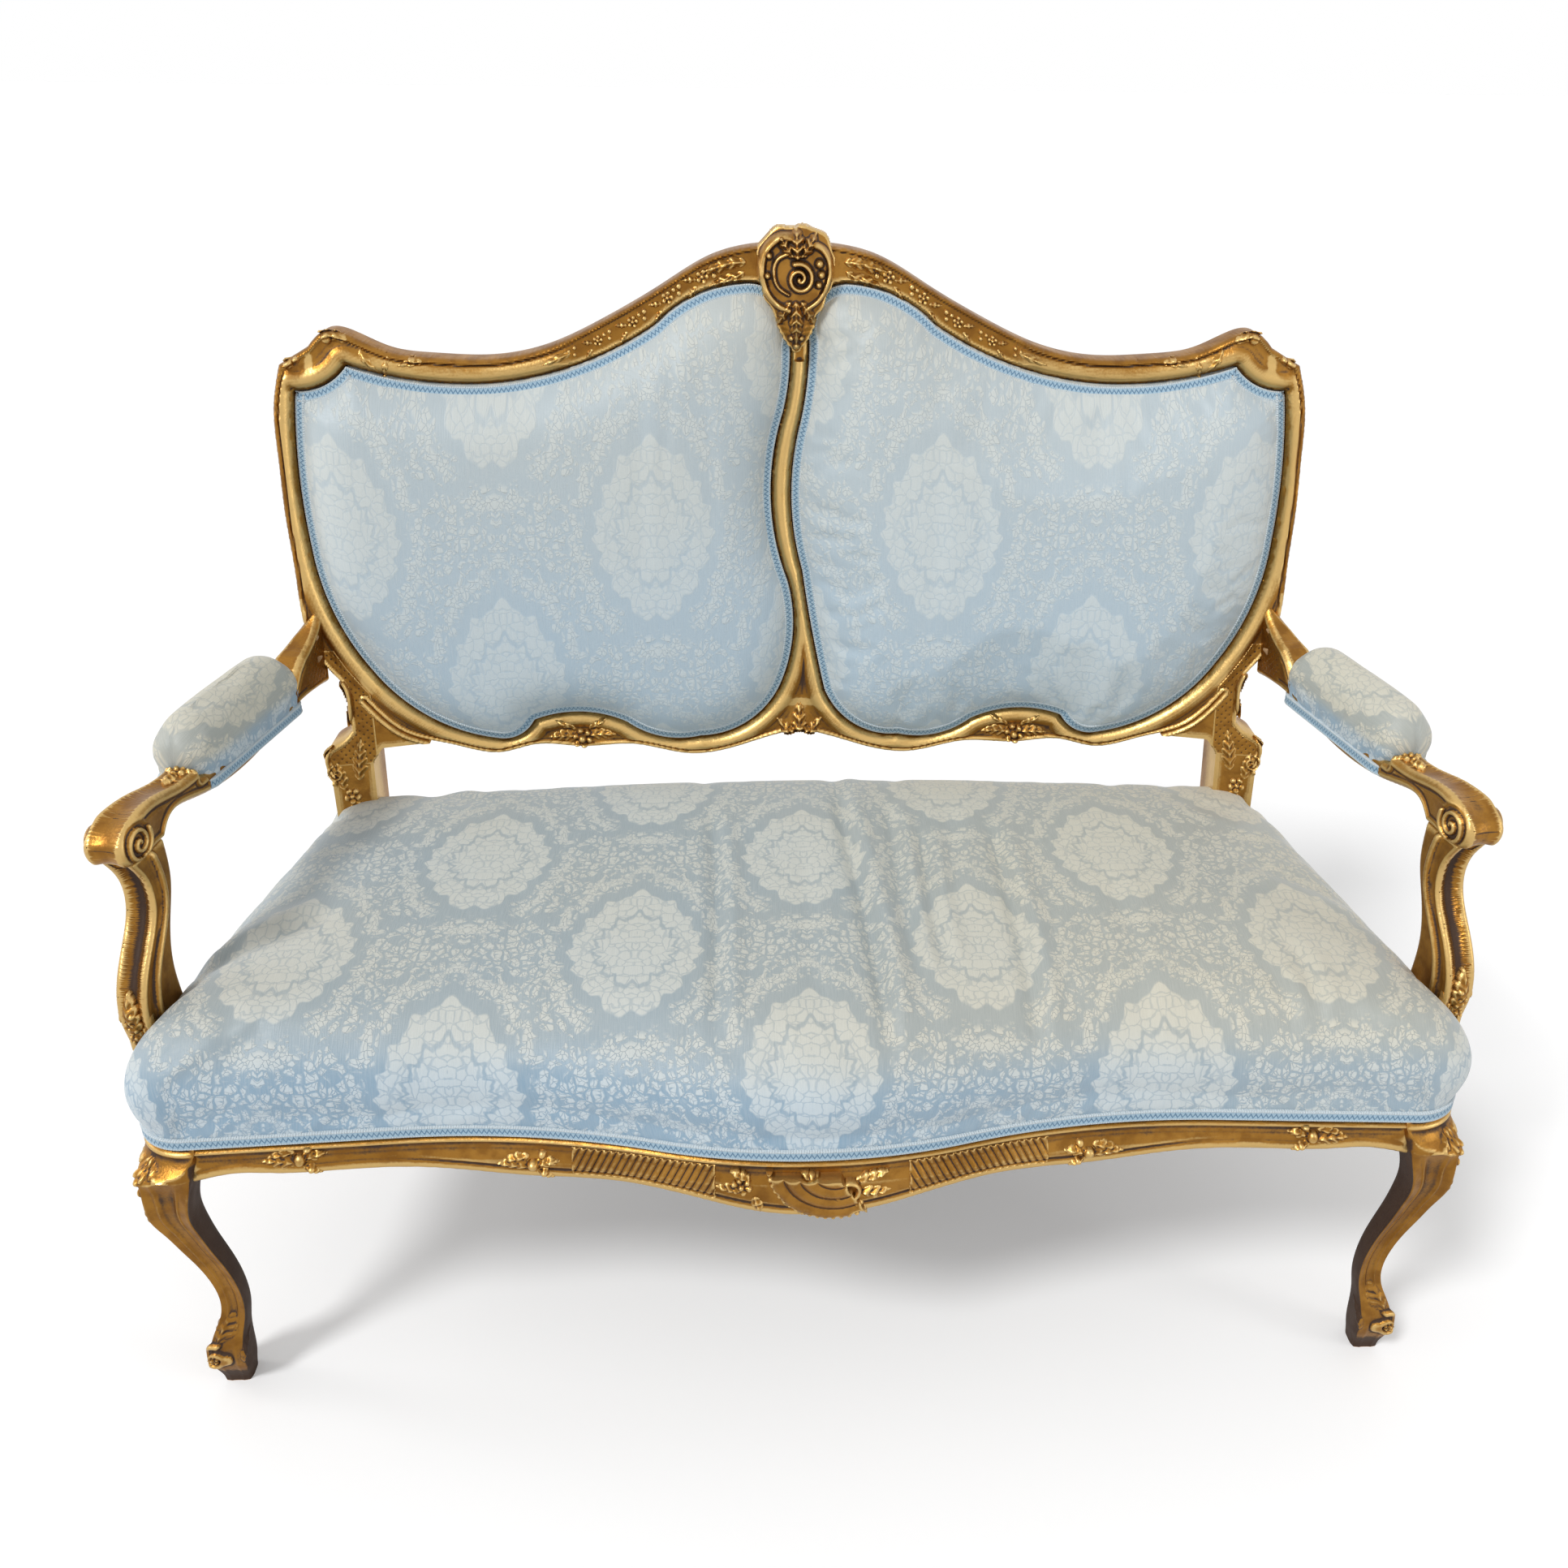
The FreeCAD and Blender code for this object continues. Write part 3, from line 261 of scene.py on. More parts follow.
def cells(m):
    """Corner mask, quads and open edges of the marked cells of a grid, and the corners on its rim."""
    pad = np.pad(m, 1)
    count = sum(c.astype(int) for c in (pad[:-1, :-1], pad[:-1, 1:], pad[1:, :-1], pad[1:, 1:]))
    used = count > 0
    index = np.full(used.shape, -1)
    index[used] = np.arange(used.sum())
    iz, ix = np.nonzero(m)
    quads = cols(index[iz, ix], index[iz, ix + 1], index[iz + 1, ix + 1], index[iz + 1, ix])
    edges = []
    for dz, dx, e in ((-1, 0, (0, 1)), (0, 1, (1, 2)), (1, 0, (2, 3)), (0, -1, (3, 0))):
        open_side = ~pad[iz + 1 + dz, ix + 1 + dx]
        edges.append(quads[open_side][:, list(e)])
    return used, quads, np.vstack(edges), (count < 4)[used]


def board(quads, edges, n):
    """Faces of a closed board: front sheet, rear sheet n points later, and the wall."""
    wall = cols(edges[:, 0], edges[:, 0] + n, edges[:, 1] + n, edges[:, 1])
    return np.vstack([quads, quads[:, ::-1] + n, wall]).tolist()


def skin(rings, side=1):
    """Points, indices and quads of closed rings of as many points each."""
    n, k = len(rings), len(rings[0])
    idx = np.arange(n * k).reshape(n, k)
    nxt = np.roll(idx, -1, 1)
    f = np.stack([idx[:-1], nxt[:-1], nxt[1:], idx[1:]], 2).reshape(-1, 4)
    return np.vstack(rings), idx, (f if side > 0 else f[:, ::-1]).tolist()


class Plate:
    """Flat region meshed by a fine square grid whose rim is laid on the region's curves."""
    def __init__(self, include, exclude, box, grid):
        x0, x1, z0, z1 = box
        gx = np.arange(x0, x1 + grid, grid)
        gz = np.arange(z0, z1 + grid, grid)
        cx, cz = gx[:-1] + grid / 2, gz[:-1] + grid / 2
        m = even_odd(include[0], cx, cz)
        for poly in include[1:]:
            m &= even_odd(poly, cx, cz)
        for poly in exclude:
            m &= ~even_odd(poly, cx, cz)
        used, self.quads, self.edges, rim = cells(m)
        jz, jx = np.nonzero(used)
        p = cols(gx[jx], gz[jz])
        near = Near([closed(c) for c in include + exclude], 0.5)
        idx, dist = near.find(p[rim])
        p[rim] = np.where((dist < 1.6 * grid)[:, None], near.pts[idx], p[rim])
        q = self.quads
        self.pairs = np.vstack([q[:, [0, 1]], q[:, [1, 2]], q[:, [2, 3]], q[:, [3, 0]]])
        for _ in range(4):
            p = np.where(rim[:, None], p, 0.5 * p + 0.5 * pairs_mean(p, self.pairs, 1))
        self.p = p
        self.rim = rim
        self.x = p[:, 0]
        self.z = p[:, 1]

    def solid(self, name, front, rear, sharp=40, uv=None, shade=None):
        faces = board(self.quads, self.edges, len(self.p))
        return make(name, np.vstack([front, rear]), faces, sharp, uv, shade)


# Outlines shared with the part
PANEL_TOP = [(107, 1010), (157, 978), (243, 938), (340, 920), (420, 925), (491, 943)]
PANEL_EAR = [(515, 924), (547, 919)]
PANEL_OUTER = [(553, 835), (549, 755), (533, 680), (497, 613), (440, 557), (361, 526)]
PANEL_ARCH = [(332, 530), (316, 546), (264, 553), (208, 538), (170, 519), (120, 517)]
INNER_RIGHT = [(60, 532), (30, 570), (17, 631), (4, 710), (-8, 790), (2, 870), (11, 915), (14, 960),
               (22, 1003), (60, 1020)]
INNER_LEFT = [(62, 532), (22, 575), (6, 632), (12, 700), (30, 795), (15, 884), (8, 918), (6, 955), (14, 1002),
              (60, 1020)]
CREST_LINE = [(-528, 962), (-510, 977), (-480, 970), (-447, 955), (-402, 948), (-340, 945), (-279, 955),
              (-216, 981), (-149, 1016), (-90, 1047), (-35, 1058)]
BOTTOM_LINE = [(509, 580), (468, 538), (414, 519), (358, 506), (319, 513), (264, 508), (203, 508), (135, 494),
               (85, 499), (40, 512), (0, 522)]
STILE_OUTER = [(559, 945), (569, 905), (571, 850), (571, 790), (568, 730), (567, 690), (561, 650), (545, 618),
               (530, 596), (528, 570), (527, 545)]
SCROLL_OUTER = [(527, 545), (538, 534), (556, 523), (560, 505), (554, 488)]


def flip(points, side=-1):
    """The points, mirrored unless side is 1."""
    p = np.array(points, float)
    p[:, 0] *= side
    return p


OPEN = {side: flip(arcs([inner[-1]] + PANEL_TOP + PANEL_EAR + PANEL_OUTER + PANEL_ARCH + inner), side)
        for side, inner in ((1, INNER_RIGHT), (-1, INNER_LEFT))}
crest_left = np.array(CREST_LINE, float)
CREST = spline(np.vstack([crest_left, flip(crest_left[::-1])]))
STILE = spline(STILE_OUTER)
BOTTOM = spline(BOTTOM_LINE)
SCROLL = spline(SCROLL_OUTER)
EAR = np.array([(528, 962), (544, 953), (559, 945)], float)

G = 1.7     # spacing of the moulded surfaces
FINE = 0.9  # spacing of the carved ones


def table(x, pairs):
    a = np.array(pairs, float)
    return np.interp(x, a[:, 0], a[:, 1])


def smooth(x, a, b):
    t = np.clip((x - a) / (b - a), 0, 1)
    return t * t * (3 - 2 * t)


def rect(x0, x1, z0, z1):
    return np.array([(x0, z0), (x1, z0), (x1, z1), (x0, z1)], float)


# Carving: each stamp gives a height over local millimetres, and OUT where it ends
OUT = -9.0


def turned(u, v, at, deg):
    a = math.radians(deg)
    du, dv = u - at[0], v - at[1]
    return du * math.cos(a) + dv * math.sin(a), dv * math.cos(a) - du * math.sin(a)


def leaf(u, v, at, deg, length, width, high, lobes=4, bend=0.0):
    """Acanthus leaf that grows from a point along its own upward axis."""
    u, v = turned(u, v, at, deg)
    t = v / length
    u = u - bend * length * t * t
    tc = np.clip(t, 0.0, 1.0)
    side = np.abs(u) / width
    half = 0.5 * width * np.sin(math.pi * tc ** 0.8) ** 0.7
    inside = half * (0.7 + 0.3 * np.abs(np.cos(lobes * math.pi * (tc - 0.25 * side)))) - np.abs(u)
    vein = 0.5 + 0.5 * np.cos(2 * lobes * math.pi * (tc - 0.5 * side))
    body = np.clip(inside / (0.3 * width), 0, 1) ** 0.5
    rib = bell(u, 0.08 * width)
    h = high * (body * (0.5 + 0.35 * vein) + 0.3 * rib) * (0.55 + 0.45 * np.sin(math.pi * tc))
    return np.where((inside > 0) & (t > 0) & (t < 1), h, OUT)


def flower(u, v, at, r, high, petals=5, turn=0.3):
    du, dv = u - at[0], v - at[1]
    rho = np.hypot(du, dv)
    lobe = np.abs(np.cos(petals * (np.arctan2(dv, du) + turn) / 2))
    inside = r * (0.62 + 0.38 * lobe ** 0.5) - rho
    petal = high * (0.35 + 0.6 * rho / r) * (0.45 + 0.55 * lobe) * np.clip(inside / (0.22 * r), 0, 1) ** 0.5
    return np.where(inside > 0, np.maximum(petal, bead(u, v, at, 0.32 * r, high)), OUT)


def bead(u, v, at, r, high):
    k = 1 - ((u - at[0]) ** 2 + (v - at[1]) ** 2) / (r * r)
    return np.where(k > 0, high * np.sqrt(np.clip(k, 0, 1)), OUT)


def stem(u, v, points, wide, high, taper=0.5):
    """Rounded ridge along a curve, thinner towards its end."""
    near = Near([spline(points, 0.5)], 0.5)
    idx, d = near.find(cols(u, v))
    t = idx / (len(near.pts) - 1.0)
    k = 1 - (d / (0.5 * wide * (1 - taper * t))) ** 2
    return np.where(k > 0, high * (1 - 0.5 * taper * t) * np.sqrt(np.clip(k, 0, 1)), OUT)


def volute(at, r, turns, start, hand):
    t = np.linspace(0, 1, 28)
    a = math.radians(start) + hand * 2 * math.pi * turns * t
    rho = r * (1 - t) ** 0.8 + 0.6
    return cols(at[0] + rho * np.cos(a), at[1] + rho * np.sin(a))


def carving(name, surface, box, field, swap=(), under=2.5, side=1):
    """Carved patch over a surface; its rim dips under that surface."""
    a = np.arange(box[0], box[1] + FINE, FINE)
    b = np.arange(box[2], box[3] + FINE, FINE)
    u, v = (q.ravel() for q in np.meshgrid(a, b))
    h = field(u, v)
    k = (h > OUT + 1).reshape(len(b), len(a))
    used, quads, edges, _ = cells(k[:-1, :-1] | k[:-1, 1:] | k[1:, :-1] | k[1:, 1:])
    used = used.ravel()
    u, v, h = u[used], v[used], h[used]
    front = surface(u, v, np.maximum(h, -0.5 * under))
    rear = surface(u, v, np.full(len(u), -under))
    faces = board(quads, edges, len(u))
    gilt(make(name, np.vstack([front, rear]), faces if side > 0 else [f[::-1] for f in faces], 60), *swap)


def relief(*stamps, side=1):
    """Field of stamps, mirrored for the left."""
    return lambda u, v: top(side * u, v, *stamps)


def diamonds(x, z):
    """Cut lines of a lattice of diamonds: 1 at their middle."""
    a = np.minimum(np.abs((x + z) % 9.0 - 4.5), np.abs((x - z) % 9.0 - 4.5))
    return bell(4.5 - a, 0.9)


def within(poly, u, v):
    out = np.zeros(len(u), bool)
    for (x0, z0), (x1, z1) in zip(poly.tolist(), np.roll(poly, -1, 0).tolist()):
        if z0 != z1:
            out ^= ((z0 <= v) != (z1 <= v)) & (u < x0 + (v - z0) * (x1 - x0) / (z1 - z0))
    return out


def top(u, v, *fields):
    """Highest of some heights and stamps; a stamp is given as its function and what follows u and v."""
    return np.maximum.reduce([f[0](u, v, *f[1:]) if isinstance(f, tuple) else f for f in fields])


# Back frame
near_open = Near([OPEN[1], OPEN[-1]])
near_out = Near([CREST, EAR, flip(EAR), STILE, flip(STILE), SCROLL, flip(SCROLL), BOTTOM, flip(BOTTOM)])
OUTER = [(0, -5.0), (0.8, -2.0), (2, 0.6), (3.6, 1.6), (5.2, 0.8), (6.4, -1.6), (8, -1.6)]
INNER = [(0, -6.0), (0.6, -3.2), (2.4, -2.6), (3.0, -1.2), (5, 1.6), (8, 3.6), (11, 4.4), (14, 3.9),
         (17, 2.4), (20, 0.2), (26, -1.2), (60, -1.2)]
CREST_X, CREST_Z = CREST[:, 0], CREST[:, 1]


def moulding(x, z):
    p = cols(x, z)
    do = near_out.find(p)[1]
    di = near_open.find(p)[1]
    k = smooth(do, 5.6, 8.0)
    h = table(do, OUTER) * (1 - k) + table(di, INNER) * k
    garland = smooth(np.abs(x), 272, 235) * (z > 940) * smooth(di, 3, 5) * smooth(do, 3, 5)
    return h * (1 - garland) - 1.4 * garland, do, di


def back_carving(name, box, field):
    """Carving kept on the face of the back frame, at most a little over its edge."""
    def kept(u, v):
        inside = near_out.distance(u, v) < 2.0
        for poly in FACES:
            inside |= within(poly, u, v)
        return np.where(inside, field(u, v), OUT)
    carving(name, on_back, box, kept)


def on_back(x, z, h):
    return cols(x, back_y(x, z) - PROUD - moulding(x, z)[0] - h, z)


def back_plate(name, include, exclude, box, rear=None):
    plate = Plate(include, exclude, box, G)
    deep = THICK - PROUD if rear is None else rear(plate.z)
    back = cols(plate.x, back_y(plate.x, plate.z) + deep, plate.z)
    _, do, di = moulding(plate.x, plate.z)
    # painted shade: a dark line along the inner edge at the panel, and the rear faces darker; also darker
    # along the outer edge above z 700
    dark = -0.45 * (1 - smooth(do, 3.5, 6.5)) * (plate.z > 700) - 0.40 * (1 - smooth(di, 1.5, 4.5))
    shade = np.concatenate([dark, np.full(len(dark), -0.5)])
    gilt(plate.solid(name, on_back(plate.x, plate.z, 0.0), back, shade=shade), name)


crest_poly = np.vstack([CREST, [(528, 905), (-528, 905)]])
joint = rect(-60, 60, 800, 985)
back_plate("crest_rail", [crest_poly], [OPEN[1], OPEN[-1], joint], (-532, 532, 903, 1082))
back_plate("centre_stile", [rect(-60, 60, 556, 985)], [OPEN[1], OPEN[-1]], (-62, 62, 554, 987))
low_right = np.vstack([BOTTOM, [(0, 556), (60, 556), (60, 610), (488, 640)]])
stile_poly = np.vstack([EAR, STILE[1:], SCROLL[1:],
                        [(552, 430), (566, 415), (566, 400), (506, 400), (506, 508), (494, 522), (440, 524),
                         (430, 545), (470, 640), (480, 905), (528, 905)]])
FACES = [even(closed(p), 6.0) for p in (crest_poly, stile_poly, flip(stile_poly), low_right, flip(low_right))]
REAR_FOOT = [(400, 536, 522, 60, 53), (300, 538, 525, 56, 49), (180, 543, 544, 44, 42),
             (60, 548, 570, 36, 34), (0, 550, 586, 34, 32)]
FOOT_N = 64


def post_rear(z):
    return THICK - PROUD + 21 * (1 - smooth(z, 545, 575))


def tube(name, rings, side, swap=(), shade=None):
    """Closed skin through rings of the same number of points."""
    verts, idx, faces = skin(rings, -side)
    faces += [idx[0].tolist()[::side], idx[-1].tolist()[::-side]]
    gilt(make(name, verts, faces, 60, shade=shade), *swap)


def rounded(w, d, phi, n):
    """Points of a rounded rectangle by their angle."""
    c, s = np.cos(phi), np.sin(phi)
    return w / 2 * np.sign(c) * np.abs(c) ** (2 / n), d / 2 * np.sign(s) * np.abs(s) ** (2 / n)


for side, tag in SIDES:
    low = flip(low_right, side)
    back_plate("bottom_rail_" + tag, [low], [OPEN[side]], (*span(side, -2, 512), 490, 642))
    back_plate("rear_leg_" + tag, [flip(stile_poly, side)], [OPEN[side], low],
               (*span(side, 428, 580), 398, 966), post_rear)
    phi = np.linspace(0, 2 * math.pi, FOOT_N + 1)[:-1]
    steps = spline(REAR_FOOT, 4.0)
    rings = []
    for z, x, y, w, d in steps[np.argsort(-steps[:, 0])]:
        dx, dy = rounded(w, d, phi, 4.4)
        rings.append(cols(side * (x + dx), y + dy, np.full(FOOT_N, max(z, 0.0))))
    tube("rear_foot_" + tag, rings, side)


# Carving of the back
def garland(side):
    """Flowers and small leaves along the crest, larger towards the middle."""
    def crest_z(x):
        return np.interp(side * x, CREST_X, CREST_Z)

    stamps = []
    for i, x in enumerate(np.linspace(64, 246, 15)):
        k = np.argmin(np.abs(OPEN[side][:, 0] - side * x) + 1e3 * (OPEN[side][:, 1] < 900))
        mid = 0.5 * (crest_z(x) - 4 + OPEN[side][k, 1] + 4)
        slope = math.degrees(math.atan2(np.interp(side * x + 4, CREST_X, CREST_Z)
                                        - np.interp(side * x - 4, CREST_X, CREST_Z), 8.0))
        size = 1.0 - 0.35 * (x - 64) / 182
        way = slope - side * 90
        if x < 90:
            stamps += [(leaf, (side * x - side * 10, mid + 4), way + 14 * side, 36, 15, 6.0, 3, 0.2 * side),
                       (leaf, (side * x - side * 8, mid - 5), way - 22 * side, 30, 12, 5.0, 3, -0.2 * side)]
        elif i % 3 == 0:
            stamps += [(flower, (side * x, mid), 8.6 * size, 5.2, 5, 0.4 * i)]
        elif i % 3 == 1:
            stamps += [(leaf, (side * x - side * 7, mid + w * 3), way + 26 * w * side, 19 * size, 9 * size,
                        h, 3)
                       for w, h in ((1, 4.2), (-1, 3.6))]
        else:
            stamps += [(bead, (side * x, mid + 3.4), 3.8 * size, 4.0),
                       (bead, (side * x, mid - 3.6), 3.6 * size, 3.6),
                       (bead, (side * x + side * 6, mid), 3.2 * size, 3.2)]
    return relief(*stamps, (leaf, (side * 250, crest_z(250) - 15), -90 * side - 20 * side, 34, 9, 3.4, 3))


def boss(x):
    """Flower between leaves on a bottom rail."""
    return relief((leaf, (x - 4, 522), 78, 36, 17, 5.0, 4, -0.2),
                  (leaf, (x + 4, 522), -78, 36, 17, 5.0, 4, 0.2),
                  (leaf, (x - 8, 531), 60, 26, 10, 3.6, 3), (leaf, (x + 8, 531), -60, 26, 10, 3.6, 3),
                  (flower, (x, 520), 12.5, 8.0, 6), (bead, (x, 520), 5.5, 10.0))


def trellis(side):
    """Diamonds incised in the bracket between the stile and its scroll."""
    def field(u, v):
        _, do, di = moulding(u, v)
        x = side * u
        inside = (do > 5.5) & (di > 18.5) & (v > 505) & (v < 640) & (x > 500)
        return np.where(inside, 0.9 - 1.7 * diamonds(x, v), OUT)
    return field


# Scroll and leaves that close the bracket above the seat, leaves of the ear, and of the centre stile's foot
POST_SCROLL = [
    (stem, [(530, 600), (524, 580), (528, 560), (540, 545), (553, 530), (556, 512), (549, 500)], 9, 4.5, 0.3),
    (stem, volute((548, 497), 9, 1.3, 70, -1), 4.5, 5.0), (leaf, (524, 486), 8, 50, 19, 4.5, 5),
    (leaf, (541, 476), -10, 34, 15, 4.0, 4), (flower, (533, 468), 10, 5.0),
    (leaf, (531, 462), 176, 44, 20, 4.0, 4)]
EAR_LEAVES = [(leaf, (486, 968), -72, 30, 12, 4.0, 3), (bead, (507, 970), 5.5, 6.0),
              (bead, (548, 947), 5.5, 5.5), (bead, (540, 950), 3.5, 4.0),
              (leaf, (474, 960), 158, 30, 10, 3.4, 3, 0.2), (leaf, (446, 951), 196, 24, 8, 3.0, 3),
              (leaf, (410, 944), -84, 26, 9, 4.2, 3, 0.2), (bead, (421, 946), 4.2, 5.0)]
STILE_FOOT = [(leaf, (0, 512), 0, 46, 21, 6.5, 4), (leaf, (0, 508), 52, 40, 16, 5.5, 4, 0.18),
              (leaf, (0, 508), -52, 40, 16, 5.5, 4, -0.18), (leaf, (0, 514), 180, 20, 14, 5.0, 3),
              (bead, (0, 513), 5.0, 8.5), (bead, (-9, 521), 3.2, 6.5), (bead, (9, 521), 3.2, 6.5)]
for side, tag in SIDES:
    for name, a, b, z0, z1, field in (("crest_garland_", 46, 286, 928, 1060, garland(side)),
                                      ("rail_boss_", 218, 306, 506, 552, boss(side * 262)),
                                      ("post_trellis_", 498, 562, 500, 642, trellis(side)),
                                      ("post_scroll_", 506, 566, 412, 606, relief(*POST_SCROLL, side=side)),
                                      ("ear_leaf_", 400, 562, 930, 986, relief(*EAR_LEAVES, side=side))):
        back_carving(name + tag, (*span(side, a, b), z0, z1), field)
back_carving("stile_foot_leaf", (-44, 44, 488, 566), relief(*STILE_FOOT))


# Cartouche: a pierced-looking rocaille, domed and deeply cut
CARTOUCHE = arcs([(0, 1078), (30, 1072), (44, 1044), (38, 1012), (24, 988), (13, 962), (0, 948),
                  (-13, 962), (-24, 988), (-38, 1012), (-44, 1044), (-30, 1072), (0, 1078)])


CARTOUCHE_LEAVES = [
    (stem, [(2, 1066), (-16, 1068), (-31, 1058), (-38, 1038), (-34, 1016), (-22, 1001), (-8, 995)], 11, 7.5,
     0.4),
    (stem, [(-8, 1052), (-20, 1046), (-24, 1032), (-19, 1018), (-8, 1011)], 5, 6.0, 0.4),
    (stem, volute((4, 1027), 15, 1.7, 110, -1), 6.0, 9.0, 0.2),
    (stem, [(16, 1062), (30, 1056), (38, 1040), (35, 1020), (24, 1004), (10, 996)], 8, 6.5, 0.4),
    (leaf, (2, 1046), 2, 33, 20, 13.0, 4), (leaf, (-2, 1048), 36, 30, 15, 11.0, 4),
    (leaf, (6, 1048), -36, 30, 15, 11.0, 4), (leaf, (0, 1004), 180, 44, 17, 8.0, 5),
    (leaf, (-6, 1004), 148, 30, 12, 6.5, 4), (leaf, (6, 1004), -148, 30, 12, 6.5, 4),
    (bead, (26, 1042), 4.6, 9.0), (bead, (28, 1031), 4.2, 8.5), (bead, (25, 1021), 3.8, 8.0),
    (bead, (-29, 1050), 3.6, 9.5), (bead, (-31, 1030), 3.4, 9.0), (bead, (0, 957), 4.0, 6.0),
    (bead, (-6, 966), 3.0, 5.0), (bead, (6, 966), 3.0, 5.0)]


def cartouche(u, v):
    near = Near([CARTOUCHE], 0.5)
    d = near.distance(u, v)
    inside = within(CARTOUCHE, u, v)
    angle = np.arctan2(v - 1030, u)
    d = np.where(v > 985, d - 2.2 * (0.5 + 0.5 * np.cos(11 * angle)), d - 1.0 * (0.5 + 0.5 * np.cos(v)))
    base = np.where(inside & (d > 0), 3.0 + 6.0 * smooth(d, 0, 12), OUT)
    return np.where(base > OUT, base + np.maximum(top(u, v, *CARTOUCHE_LEAVES), 0) * 1.15, OUT)


def on_cartouche(x, z, h):
    dome = 7.0 * np.sqrt(np.clip(1 - (x / 52) ** 2 - ((z - 1024) / 78) ** 2, 0, 1))
    return cols(x, back_y(x, z) - PROUD - dome * (h > 0) - np.maximum(h, -9), z)


carving("crest_cartouche_carved", on_cartouche, (-46, 46, 945, 1080), cartouche, ["crest_cartouche"], 9.0)


# Plan of the seat
def shrunk(x, y, inset):
    """Plan points moved in towards the seat's middle."""
    return x * (1 - inset / SEAT_HALF), SEAT_MID + (y - SEAT_MID) * (1 - inset / SEAT_MID)


def seat_half(inset, step=2.0):
    """Right half of the seat's plan, from the centre of the front to the centre of the rear."""
    slope = math.asin(2 * 20.0 * 150.0 / (150.0 ** 2 + 20.0 ** 2))
    end = math.radians(3.2)
    radius = 250.0 / (math.sin(slope) + math.sin(end))
    crest = 18.0 + radius * (1 - math.cos(slope))
    sweep = crest - radius * (1 - math.cos(end))
    corner = sweep - 202.0 * math.tan(end)
    raw = [(-150, 18), (0, -2), (150, 18), (150 + radius * math.sin(slope), crest), (400, sweep),
           (602, corner), (636, 47), (650, 92), (616, 320), (570, 548), (0, 598), (-570, 548)]
    p = [shrunk(x, y, inset) for x, y in raw]
    bow, rear = (arc_points(p[k], p[k + 1], p[k + 2], step) for k in (0, 9))
    out = np.vstack([[(0.0, p[1][1])], bow[bow[:, 0] >= 0], arc_points(p[2], p[3], p[4], step),
                     even([p[4], p[5]], step), arc_points(p[5], p[6], p[7], step),
                     arc_points(p[7], p[8], p[9], step), rear[rear[:, 0] >= 0], [(0.0, p[10][1])]])
    keep = np.concatenate([[True], np.linalg.norm(np.diff(out, axis=0), axis=1) > 1e-3])
    return out[keep]


def seat_plan(inset, step=None):
    half = seat_half(inset)
    if step:
        half = even(half, step)
    return np.vstack([half, flip(half[::-1])[1:-1]])


EDGE = seat_half(0.0, 1.0)
EDGE_S = run(EDGE)
EDGE_N = right_of(unit(np.gradient(EDGE, EDGE_S, axis=0)))


def edge_at(s):
    """Point and outward normal on the seat's plan at a signed arc length from the front's centre."""
    a = np.abs(s)
    g = np.sign(s) + (s == 0)
    x, nx = (np.interp(a, EDGE_S, c[:, 0]) for c in (EDGE, EDGE_N))
    y, ny = (np.interp(a, EDGE_S, c[:, 1]) for c in (EDGE, EDGE_N))
    return g * x, y, g * nx, ny


def s_of(x):
    k = EDGE[:, 1] < 90
    return np.sign(x) * np.interp(np.abs(x), EDGE[k][:, 0], EDGE_S[k])


S_LEG = s_of(598.0)
S_BLOCK, S_POST = (EDGE_S[np.argmin(np.abs(EDGE[:, 1] - y) + 1e3 * (EDGE[:, 0] < 500))]
                   for y in (84.0, 520.0))
APRON_HALF = [(0, 260), (60, 265), (120, 277), (200, 282), (290, 280), (330, 284), (390, 291), (450, 293),
              (515, 293), (560, 296), (598, 289)]
APRON = spline([(-x, z) for x, z in APRON_HALF[:0:-1]] + APRON_HALF)
APRON[:, 0] = s_of(APRON[:, 0])
near_apron = Near([APRON])
APRON_TOP = [(0, -4), (2.5, -4), (4, -0.5), (6, 1.0), (8, 0.5), (9, -1.5), (12, -2.5), (18, -2.0), (24, 0.5),
             (30, 3)]


def apron_height(s, z):
    low = near_apron.distance(s, z)
    bead = table(low, [(0, -4), (0.8, -0.5), (2, 1.6), (4, 3.0), (6.5, 3.2), (9, 2.2), (12, 0), (15, -2.0)])
    k = smooth(low, 10, 15)
    return bead * (1 - k) + table(RAIL_TOP - z, APRON_TOP) * k


def on_ring(base):
    def surface(s, z, h):
        x, y, nx, ny = edge_at(s)
        h = h + base(s, z)
        return cols(x + nx * h, y + ny * h, z)
    return surface


def ring_plate(name, poly, height, deep, *swap):
    """Moulded board that follows the seat's plan; poly is in arc length and height."""
    p = np.array(poly, float)
    plate = Plate([p], [], (p[:, 0].min() - 2, p[:, 0].max() + 2, p[:, 1].min() - 2, p[:, 1].max() + 2), G)
    front = on_ring(height)(plate.x, plate.z, 0.0)
    rear = on_ring(lambda s, z: -deep)(plate.x, plate.z, 0.0)
    # painted shade: a dark band just under the gimp, and the rear faces darker
    shade = np.concatenate([-0.5 * smooth(plate.z, 322, 327), np.full(len(rear), -0.6)])
    gilt(plate.solid(name, front, rear, shade=shade), *swap)


LIP = [(0, 0.4), (2.5, 0.5), (4, 1.2), (8, 3.2), (14, 4.2), (22, 3.6), (30, 1.8), (36, 0.7), (40, 0.5)]


def lip_height(s, z):
    return table(RAIL_TOP - z, LIP)


ring_plate("front_apron", np.vstack([APRON, [(S_LEG, RAIL_TOP), (-S_LEG, RAIL_TOP)]]), apron_height, 27.0,
           "front_rail")
for side, tag in SIDES:
    for name, a, b in (("side_lip_", S_BLOCK, S_POST), ("rear_lip_", S_POST, EDGE_S[-1])):
        a, b = span(side, a, b)
        ring_plate(name + tag, rect(a, b, RAIL_LOW, RAIL_TOP), lip_height, 17.4)


